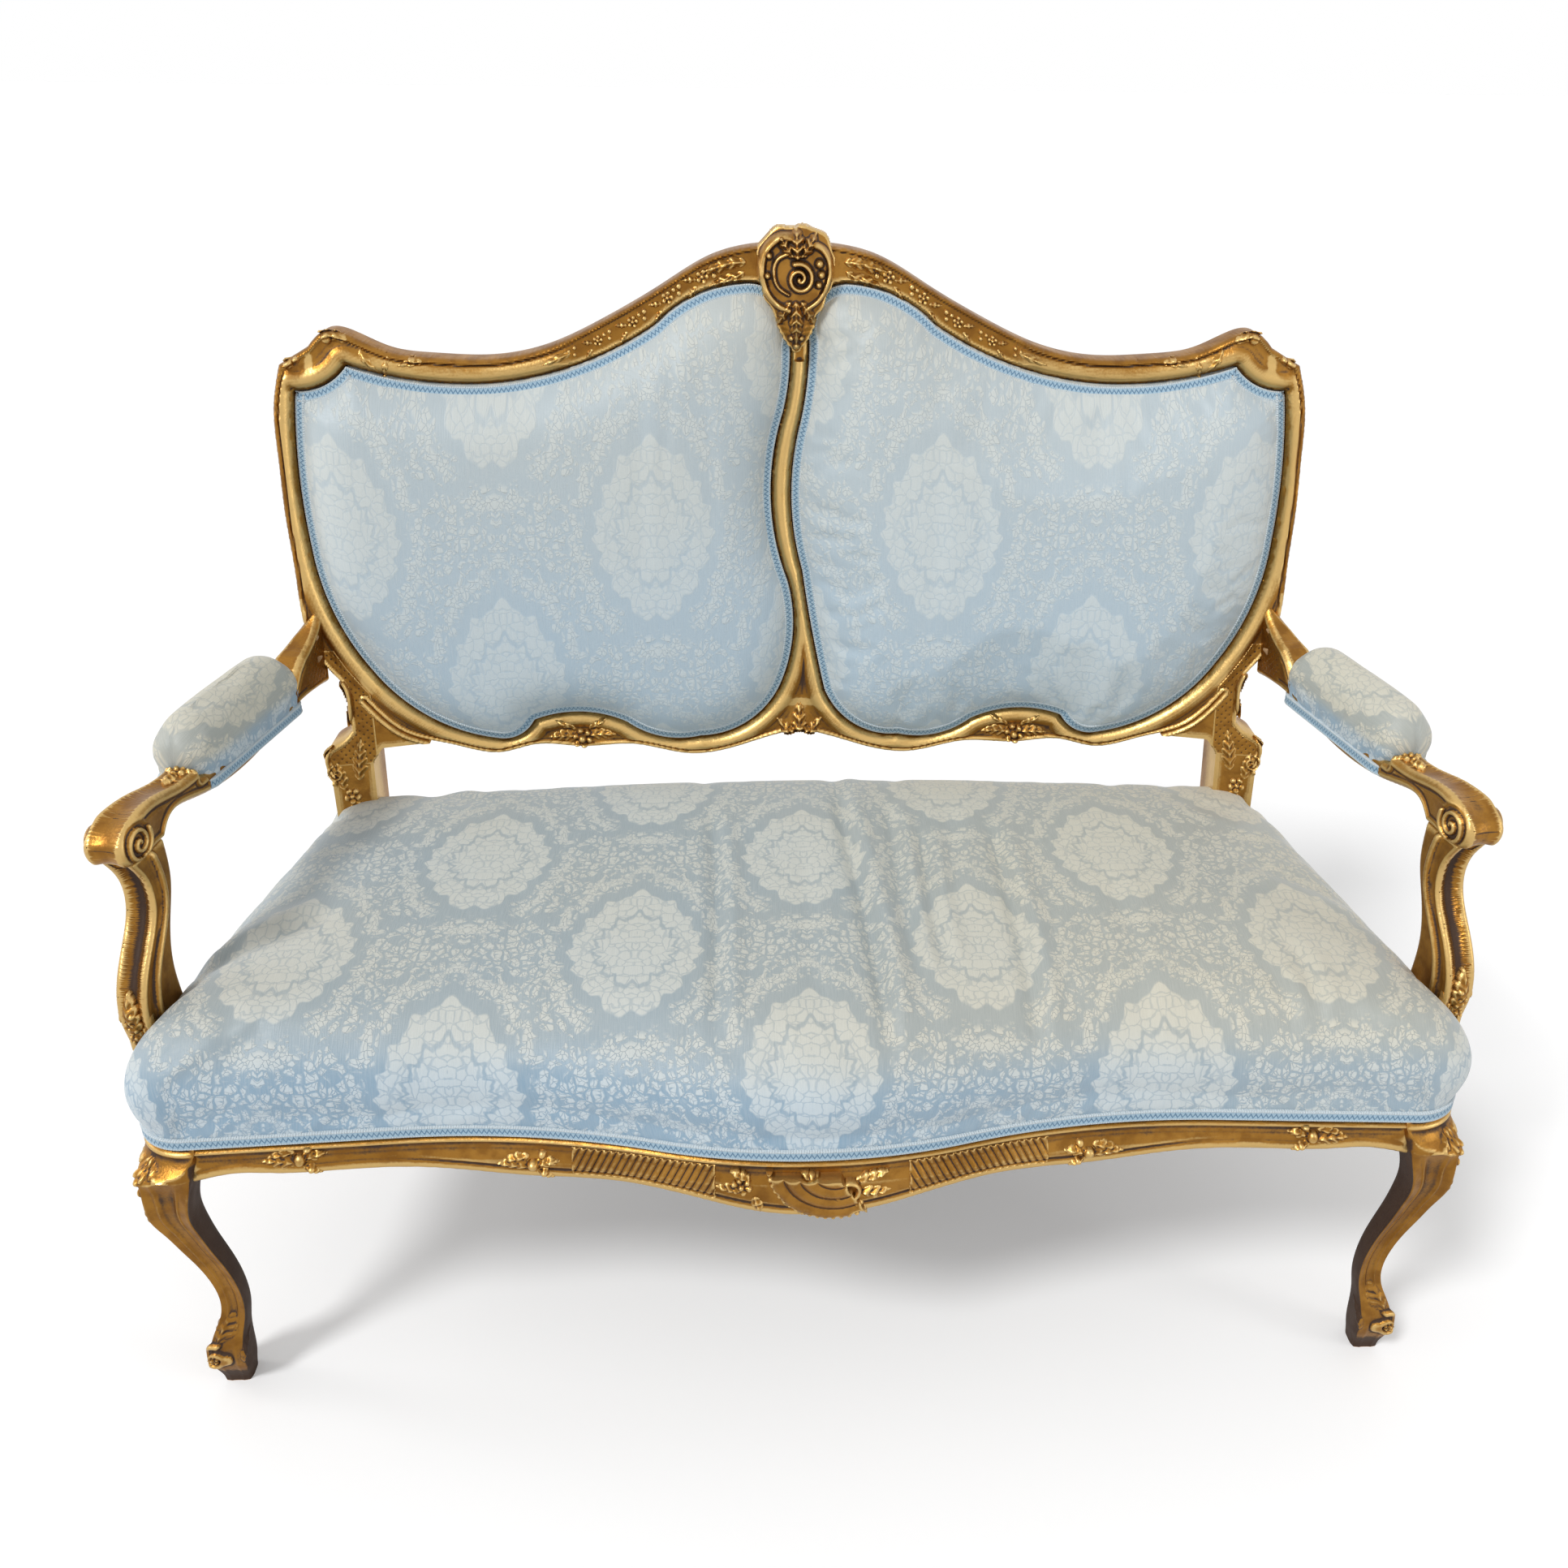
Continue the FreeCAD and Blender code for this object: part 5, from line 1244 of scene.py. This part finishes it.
def arm_pad(side, tag):
    verts, uv, tint = [], [], []
    for rise, inset in spline(PAD_STEPS, 3.0):
        ring = pad_ring(inset, PAD_N)
        verts.append(cols(PAD_AT[0] + ring[:, 0], PAD_AT[1] + ring[:, 1], np.full(PAD_N, PAD_AT[2] + rise)))
        uv.append(cols(ring[:, 0] + np.sign(ring[:, 0]) * (76 - rise) * 0.9, ring[:, 1]))
        # painted shade: bluer on the lower inner side of the pad
        tint.append((0.12 + 0.7 * (1 - smooth(rise, 20, 42))) * (ring[:, 0] < 6))
    ring = verts[-1]
    mid = ring.mean(0)
    for f in (0.75, 0.5, 0.25):
        q = mid + (ring - mid) * np.array([f, f, 1.0])
        q[:, 2] = ring[0, 2] + (1 - f * f) * 2.0
        verts.append(q)
        uv.append(q[:, :2] - np.array(PAD_AT[:2]))
        tint.append(np.full(PAD_N, 0.12))
    verts, idx, faces = skin(verts, side)
    faces += [idx[-1].tolist()[::side], idx[0].tolist()[::-side]]
    v = splayed(verts, side)
    v = inflate(v, faces, v[:, 2] < PAD_AT[2] + 9, 3.0, 4.0)
    ob = make("arm_cushion_" + tag, v, faces, 0, np.vstack(uv), np.concatenate(tint))
    finer(ob)
    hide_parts("arm_pad_" + tag, "arm_cover_" + tag)
    cloths.append(ob)
    ring = pad_ring(-1.2, PAD_BRAID_N)
    pts = cols(PAD_AT[0] + ring[:, 0], PAD_AT[1] + ring[:, 1], np.full(PAD_BRAID_N, PAD_AT[2] + 6))
    out = np.pad(right_of(unit(np.roll(ring, -1, 0) - np.roll(ring, 1, 0))), ((0, 0), (0, 1)))
    up_dir = splayed(pts + out, side) - splayed(pts, side)
    braid("arm_braid_" + tag, splayed(pts, side), np.tile([0.0, 0.0, 1.0], (PAD_BRAID_N, 1)), up_dir,
          "arm_gimp_" + tag, 11.0, 2.2)


for side, tag in SIDES:
    arm_pad(side, tag)


# Outside back cloths and dust cover
def sheet(name, plate, front, back, slot, rests_on, swap):
    ob = plate.solid(name, front, back, 0, np.vstack([plate.p, plate.p]))
    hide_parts(swap)
    a, b, c, d = (plate.p[plate.quads[:, k]] for k in range(4))
    p, q = c - a, d - b
    size = np.abs(p[:, 0] * q[:, 1] - p[:, 1] * q[:, 0]).sum() / 2
    w, h = np.ptp(plate.p, axis=0) * 0.001
    sheets.append((ob, dict(flat=(w, h), area=size * 1e-6, held="stretched", rests_on=rests_on)))
    return ob


for side, tag in SIDES:
    curve = OPEN[side]
    plate = panel_plate(curve, 7.0)
    y = back_y(plate.x, plate.z) + THICK - PROUD - 1.5
    faces = [cols(plate.x, y + t, plate.z) for t in (0.0, 1.5)]
    cloths.append(sheet("outside_cloth_" + tag, plate, *faces, "damask", ["crest_rail"],
                        "outside_back_" + tag))
corners = [rect(*span(side, a, b), low, high)
           for a, b, low, high in ((585, 660, -10, 90), (502, 580, 490, 610)) for side in (1, -1)]
plate = Plate([seat_plan(20.5)], corners, (-634, 634, 14, 582), 8.0)
sag = 3.0 * np.clip(1 - (plate.x / 600) ** 2, 0, 1) * np.clip(1 - ((plate.z - SEAT_MID) / 270) ** 2, 0, 1)
flat_plan = [cols(plate.x, plate.z, 296.8 - sag - t) for t in (0.0, 0.8)]
under = sheet("dust_sheet", plate, *flat_plan, "dust_cloth", ["side_rail_left", "side_rail_right"],
              "dust_cover")

# Camera at the photograph's angle; lengths in pixels of its frame
FRAME_PX, FOCAL_PX, SENSOR = 1932.0, 1753.0, 36.0
CENTRE_PX = (1031.4, 1052.8)
yaw, pitch, roll = (math.radians(a) for a in (2.87, 30.02, 0.63))
fwd = Vector((math.sin(yaw) * math.cos(pitch), math.cos(yaw) * math.cos(pitch), -math.sin(pitch)))
right = Vector((math.cos(yaw), -math.sin(yaw), 0.0))
up = right.cross(fwd)
r2 = math.cos(roll) * right + math.sin(roll) * up
u2 = -math.sin(roll) * right + math.cos(roll) * up
cam = bpy.data.cameras.new("camera")
cam.sensor_width = SENSOR
cam.lens = FOCAL_PX / FRAME_PX * SENSOR
cam.shift_x = (FRAME_PX / 2 - CENTRE_PX[0]) / FRAME_PX
cam.shift_y = (CENTRE_PX[1] - FRAME_PX / 2) / FRAME_PX
cam.clip_start = 0.05
cam_ob = bpy.data.objects.new("camera", cam)
m = Matrix((r2, u2, -fwd)).transposed().to_4x4()
m.translation = Vector((-0.0314, -1.0296 + SHIFT_Y * 0.001, 1.2612))
cam_ob.matrix_world = m
scene = bpy.context.scene
scene.collection.objects.link(cam_ob)
scene.camera = cam_ob
scene.view_settings.view_transform = "Standard"


# Light and floor
def lamp(name, kind, loc, aim, power, **settings):
    light = bpy.data.lights.new(name, kind)
    light.energy = power
    for key, value in settings.items():
        setattr(light, key, value)
    ob = bpy.data.objects.new(name, light)
    ob.location = loc
    ob.rotation_euler = (Vector(aim) - Vector(loc)).to_track_quat("-Z", "Y").to_euler()
    scene.collection.objects.link(ob)


lamp("key", "SUN", (-1.6, -1.5, 2.6), (0, 0, 0), 1.55, angle=math.radians(14))
lamp("fill", "AREA", (2.6, -1.4, 1.5), (0.1, 0, 0.6), 9.0, shape="RECTANGLE", size=0.7, size_y=1.6)
lamp("rim", "AREA", (-2.4, 0.2, 1.4), (0, 0, 0.7), 7.0, shape="RECTANGLE", size=0.5, size_y=1.6)
world = bpy.data.worlds.new("studio")
scene.world = world
world.use_nodes = True
tree = world.node_tree
back = tree.nodes["Background"]
back.inputs["Color"].default_value = (1, 1, 1, 1)
path = tree.nodes.new("ShaderNodeLightPath")


AMBIENT = 0.56   # the world's light on the object; as a background it is 1
FLOOR_GLOW = 0.16


class Num:
    """Scalar of a node tree, so that patterns are written as arithmetic."""
    def __init__(self, tree, out):
        self.tree = tree
        self.out = out

    def math(self, kind, *others):
        n = self.tree.nodes.new("ShaderNodeMath")
        n.operation = kind
        for socket, value in zip(n.inputs, (self,) + others):
            if isinstance(value, Num):
                self.tree.links.new(value.out, socket)
            else:
                socket.default_value = value
        return Num(self.tree, n.outputs[0])

    def __neg__(self):
        return self.math("MULTIPLY", -1.0)

    def flip(self):
        return -self + 1.0

    def step(self, low, high):
        n = self.tree.nodes.new("ShaderNodeMapRange")
        n.interpolation_type = "SMOOTHSTEP"
        self.tree.links.new(self.out, n.inputs["Value"])
        n.inputs["From Min"].default_value = low
        n.inputs["From Max"].default_value = high
        return Num(self.tree, n.outputs["Result"])

    def choose(self, yes, no):
        """yes where this is 1, no where it is 0."""
        return yes * self + no * self.flip()


for name, kind in (("__add__", "ADD"), ("__sub__", "SUBTRACT"), ("__mul__", "MULTIPLY"),
                   ("__truediv__", "DIVIDE"),
                   ("fract", "FRACT"), ("abs", "ABSOLUTE"), ("wave", "SINE"), ("power", "POWER"),
                   ("most", "MAXIMUM")):
    setattr(Num, name, lambda self, *others, kind=kind: self.math(kind, *others))

rays = [Num(tree, path.outputs[k]) for k in ("Is Camera Ray", "Is Glossy Ray", "Is Transmission Ray")]
seen = rays[0].most(rays[1]).most(rays[2])
tree.links.new((seen * (1.0 - AMBIENT) + AMBIENT).out, back.inputs["Strength"])
bpy.ops.mesh.primitive_plane_add(size=80.0, location=(0, 0, 0))
floor = bpy.context.object
floor.name = "studio_floor"


# Materials
class Paint:
    """Material with one principled shader, and short ways to feed it."""
    def __init__(self, name):
        self.mat = bpy.data.materials.new(name)
        self.mat.use_nodes = True
        self.tree = self.mat.node_tree
        self.shader = self.tree.nodes["Principled BSDF"]

    def coords(self, kind):
        return self.tree.nodes.new("ShaderNodeTexCoord").outputs[kind]

    def value(self, name):
        n = self.tree.nodes.new("ShaderNodeAttribute")
        n.attribute_name = name
        return Num(self.tree, n.outputs["Fac"])

    def split(self, vector, scale=1.0):
        n = self.tree.nodes.new("ShaderNodeSeparateXYZ")
        self.tree.links.new(vector, n.inputs[0])
        return [Num(self.tree, out) * scale for out in n.outputs]

    def join(self, *parts):
        n = self.tree.nodes.new("ShaderNodeCombineXYZ")
        for socket, value in zip(n.inputs, parts):
            self.tree.links.new(value.out, socket)
        return n.outputs[0]

    def noise(self, vector, scale, detail=3.0, distortion=0.0):
        n = self.tree.nodes.new("ShaderNodeTexNoise")
        self.tree.links.new(vector, n.inputs["Vector"])
        n.inputs["Scale"].default_value = scale
        n.inputs["Detail"].default_value = detail
        n.inputs["Distortion"].default_value = distortion
        return Num(self.tree, n.outputs[0])

    def edges(self, vector, scale):
        n = self.tree.nodes.new("ShaderNodeTexVoronoi")
        n.feature = "DISTANCE_TO_EDGE"
        self.tree.links.new(vector, n.inputs["Vector"])
        n.inputs["Scale"].default_value = scale
        return Num(self.tree, n.outputs["Distance"])

    def mix(self, fac, a, b):
        n = self.tree.nodes.new("ShaderNodeMix")
        n.data_type = "RGBA"
        self.tree.links.new(fac.out, n.inputs[0])
        for socket, value in ((n.inputs[6], a), (n.inputs[7], b)):
            if isinstance(value, tuple):
                socket.default_value = (*value, 1)
            else:
                self.tree.links.new(value, socket)
        return n.outputs[2]

    def finish(self, colour, rough, bump=None, depth=0.0002, metal=None, **constants):
        self.tree.links.new(colour, self.shader.inputs["Base Color"])
        self.tree.links.new(rough.out, self.shader.inputs["Roughness"])
        if metal is not None:
            self.tree.links.new(metal.out, self.shader.inputs["Metallic"])
        if bump is not None:
            n = self.tree.nodes.new("ShaderNodeBump")
            n.inputs["Distance"].default_value = depth
            self.tree.links.new(bump.out, n.inputs["Height"])
            self.tree.links.new(n.outputs[0], self.shader.inputs["Normal"])
        for key, value in constants.items():
            self.shader.inputs[key.replace("_", " ")].default_value = value
        return self.mat


def antique_gilt():
    p = Paint("antique_gilt")
    at = p.coords("Object")
    worn = p.value("worn")
    broad, mid, fine = p.noise(at, 9.0, 2), p.noise(at, 55.0, 4), p.noise(at, 420.0, 3)
    level = worn + (mid - 0.5) * 0.30 + (fine - 0.5) * 0.16 + (broad - 0.5) * 0.12
    # dark patina in hollows, and painted shade where the shade values lower the level
    patina_and_shade = level.step(0.24, 0.46).flip()
    # painted highlight: pale gold on the ridges
    painted_highlight = level.step(0.57, 0.86)
    gold = p.mix(broad.step(0.35, 0.65), (0.300, 0.138, 0.022), (0.385, 0.185, 0.034))
    gold = p.mix(mid.step(0.40, 0.66) * 0.6, gold, (0.175, 0.070, 0.012))
    # colour of the painted highlight
    colour = p.mix(painted_highlight * 0.7, gold, (0.78, 0.54, 0.21))
    # colour of the patina and of the painted shade
    colour = p.mix(patina_and_shade * 0.95, colour, (0.028, 0.010, 0.004))
    rough = mid * 0.22 + 0.24 + patina_and_shade * 0.3
    return p.finish(colour, rough, fine * 0.5 + mid, 0.0005, patina_and_shade * -0.75 + 0.92)


def damask(name, contrast, pale_ground, blue_ground, pale_figure, blue_figure):
    """Half-drop ogival damask: lobed medallions, ground channels and mirrored foliage."""
    p = Paint(name)
    wide, tall = 346.0, 340.0
    uv = p.coords("UV")
    u, v, _ = p.split(uv, 1000.0)
    a = (u / wide + 0.5).fract() - 0.5
    b = (v / tall + 0.5).fract() - 0.5
    fold_a, fold_b = a.abs(), b.abs()
    here = (fold_a + fold_b).math("LESS_THAN", 0.5)
    x = here.choose(fold_a, -fold_a + 0.5) * wide
    y = here.choose(b, b - b.math("SIGN") * 0.5) * tall
    radius = ((x / 66.0).abs().power(1.7) + (y / 98.0).abs().power(1.5)).power(0.6)
    around = y.math("ARCTAN2", x)
    lobed = radius + (around * 15.0).wave() * 0.045 + (around * 31.0).wave() * 0.02
    at = p.join(x * 0.001, y * 0.001, x * 0.0)
    warp = (p.noise(at, 42.0, 2) - 0.5) * 0.016
    warp2 = (p.noise(at, 47.0, 2, 1.0) - 0.5) * 0.016
    bent = p.join(x * 0.001 + warp, y * 0.001 + warp2, x * 0.0)
    petals = p.edges(bent, 92.0)
    small = p.edges(bent, 190.0)
    clusters = p.noise(bent, 30.0, 1, 0.6)
    leaves = petals.step(0.06, 0.16) * clusters.step(0.36, 0.42) * small.step(0.01, 0.06)
    medallion = lobed.step(0.98, 1.02).flip()
    inner = (lobed - 0.62).abs().step(0.015, 0.05)
    inside = medallion * (petals.step(0.02, 0.09) * 0.55 + 0.45) * (inner * 0.8 + 0.2)
    frame_line = (lobed - 1.36).abs().step(0.03, 0.09).flip() * clusters.step(0.40, 0.46)
    outside = leaves.most(frame_line * small.step(0.01, 0.08)) * lobed.step(1.14, 1.22)
    figure = inside.most(outside)
    threads = p.noise(p.join(u * 0.9, v * 0.045, u * 0.0), 1.0, 2)
    weft = p.noise(p.join(u * 0.12, v * 1.3, u * 0.0), 1.0, 1)
    # tone of painted light and shade: the pale colours where lit, the blue ones where shaded
    tint = (p.value("tint") + (p.noise(uv, 5.0, 2) - 0.5) * 0.35).step(0.0, 1.0)
    ground = p.mix(tint, pale_ground, blue_ground)
    ivory = p.mix(tint, pale_figure, blue_figure)
    colour = p.mix(figure * contrast + (threads - 0.5) * 0.25, ground, ivory)
    colour = p.mix((threads - 0.35) * 0.28, colour, (0.72, 0.72, 0.68))
    rough = figure * 0.20 + 0.42 + (weft - 0.5) * 0.2
    bump = figure * 0.6 + threads * 0.7 + weft * 0.35
    return p.finish(colour, rough, bump, 0.0004, Sheen_Weight=0.25, Sheen_Roughness=0.45,
                    Specular_IOR_Level=0.42)


def gimp_braid():
    """Zigzag cord between two pale scalloped edges."""
    p = Paint("gimp_braid")
    u, v, _ = p.split(p.coords("UV"), 1000.0)
    tri = (u / 5.0).fract() - 0.5
    zig = (v - 6.0 - (tri.abs() - 0.25) * 9.0).abs()
    line = zig.step(0.7, 1.3).flip()
    edge = (v - 6.0).abs().step(3.7, 4.3)
    loops = ((u * 2.5).wave() * 0.5 + 0.5) * edge
    threads = p.noise(p.join(u * 1.2, v * 1.2, u * 0.0), 1.0, 2)
    blue = p.mix(line, (0.36, 0.52, 0.64), (0.085, 0.215, 0.370))
    colour = p.mix(edge * 0.85, blue, (0.72, 0.78, 0.80))
    colour = p.mix(threads.step(0.35, 0.7) * 0.35, colour, (0.30, 0.42, 0.52))
    bump = line * 0.8 + loops + threads * 0.6
    return p.finish(colour, threads * 0.2 + 0.6, bump, 0.0008, Sheen_Weight=0.2)


def woven(name, low, high, pitch):
    """Plain weave of coarse threads."""
    p = Paint(name)
    at = p.coords("Object")
    x, y, z = p.split(at, 6.2832 / pitch)
    slub = p.noise(at, 260.0, 3)
    weave = (x.wave() * y.wave()).abs() * 0.6 + (z.wave() * x.wave()).abs() * 0.4
    colour = p.mix(weave * 0.6 + slub * 0.5, low, high)
    return p.finish(colour, slub * 0.1 + 0.85, weave + slub * 0.5, 0.0006)


def timber(name, low, high):
    """Sawn beech: long grain with small flecks."""
    p = Paint(name)
    at = p.coords("Object")
    x, y, z = p.split(at)
    grain = p.noise(p.join(x * 0.12, y * 1.2, z), 90.0, 4, 0.8)
    fleck = p.noise(p.join(x * 0.2, y, z * 2.0), 600.0, 2)
    colour = p.mix(grain.step(0.3, 0.7), low, high)
    colour = p.mix(fleck.step(0.60, 0.70) * 0.5, colour, low)
    return p.finish(colour, grain * 0.2 + 0.55, grain + fleck * 0.4, 0.0003)


def steel(name, colour, rust):
    p = Paint(name)
    at = p.coords("Object")
    spots, fine = p.noise(at, 70.0, 4), p.noise(at, 500.0, 2)
    tarnish = (spots * 0.7 + fine * 0.3).step(0.48, 0.62)
    return p.finish(p.mix(tarnish, colour, rust), tarnish * 0.3 + 0.35, fine, 0.0001, tarnish * -0.5 + 0.95)


def plain_floor():
    p = Paint("pale_floor")
    at = p.coords("Object")
    cloudy = p.noise(at, 1.2, 2)
    glow = Num(p.tree, p.tree.nodes.new("ShaderNodeLightPath").outputs["Is Camera Ray"])
    p.shader.inputs["Emission Color"].default_value = (1, 1, 1, 1)
    p.tree.links.new((glow * FLOOR_GLOW).out, p.shader.inputs["Emission Strength"])
    return p.finish(p.mix(cloudy, (0.90, 0.90, 0.905), (0.92, 0.92, 0.92)), cloudy * 0.1 + 0.8)


def paint(obs, mat):
    for ob in obs:
        ob.data.materials.clear()
        ob.data.materials.append(mat)


silk = damask("damask", 0.88, (0.400, 0.415, 0.375), (0.250, 0.375, 0.490),
              (0.640, 0.605, 0.490), (0.560, 0.640, 0.690))
# painted light: a lighter, lower-contrast copy of the same damask for the back panels
silk_back_painted_lighter = damask("damask_back", 0.70, (0.480, 0.515, 0.500), (0.400, 0.520, 0.620),
                   (0.640, 0.640, 0.570), (0.590, 0.665, 0.700))
beech = timber("beech", (0.30, 0.17, 0.075), (0.52, 0.34, 0.18))
jute = woven("hessian", (0.16, 0.10, 0.05), (0.44, 0.32, 0.18), 0.0022)
paint(gilt_parts, antique_gilt())
paint(cloths, silk)
paint(back_cloths, silk_back_painted_lighter)
paint(braids, gimp_braid())
paint([under], woven("dust_cloth", (0.045, 0.042, 0.04), (0.13, 0.12, 0.115), 0.0012))
paint([floor], plain_floor())
FINISHES = {"seat_springs": steel("spring_steel", (0.42, 0.40, 0.38), (0.12, 0.06, 0.035)),
            "block_screws": steel("screw_steel", (0.50, 0.48, 0.45), (0.16, 0.09, 0.05)),
            "seat_webbing": woven("webbing", (0.20, 0.13, 0.07), (0.50, 0.38, 0.22), 0.0016),
            "seat_hessian": jute, "back_hessian_left": jute, "back_hessian_right": jute}
for name, ob in nodes.items():
    for slot in ob.material_slots:
        slot.material = FINISHES.get(name, beech)
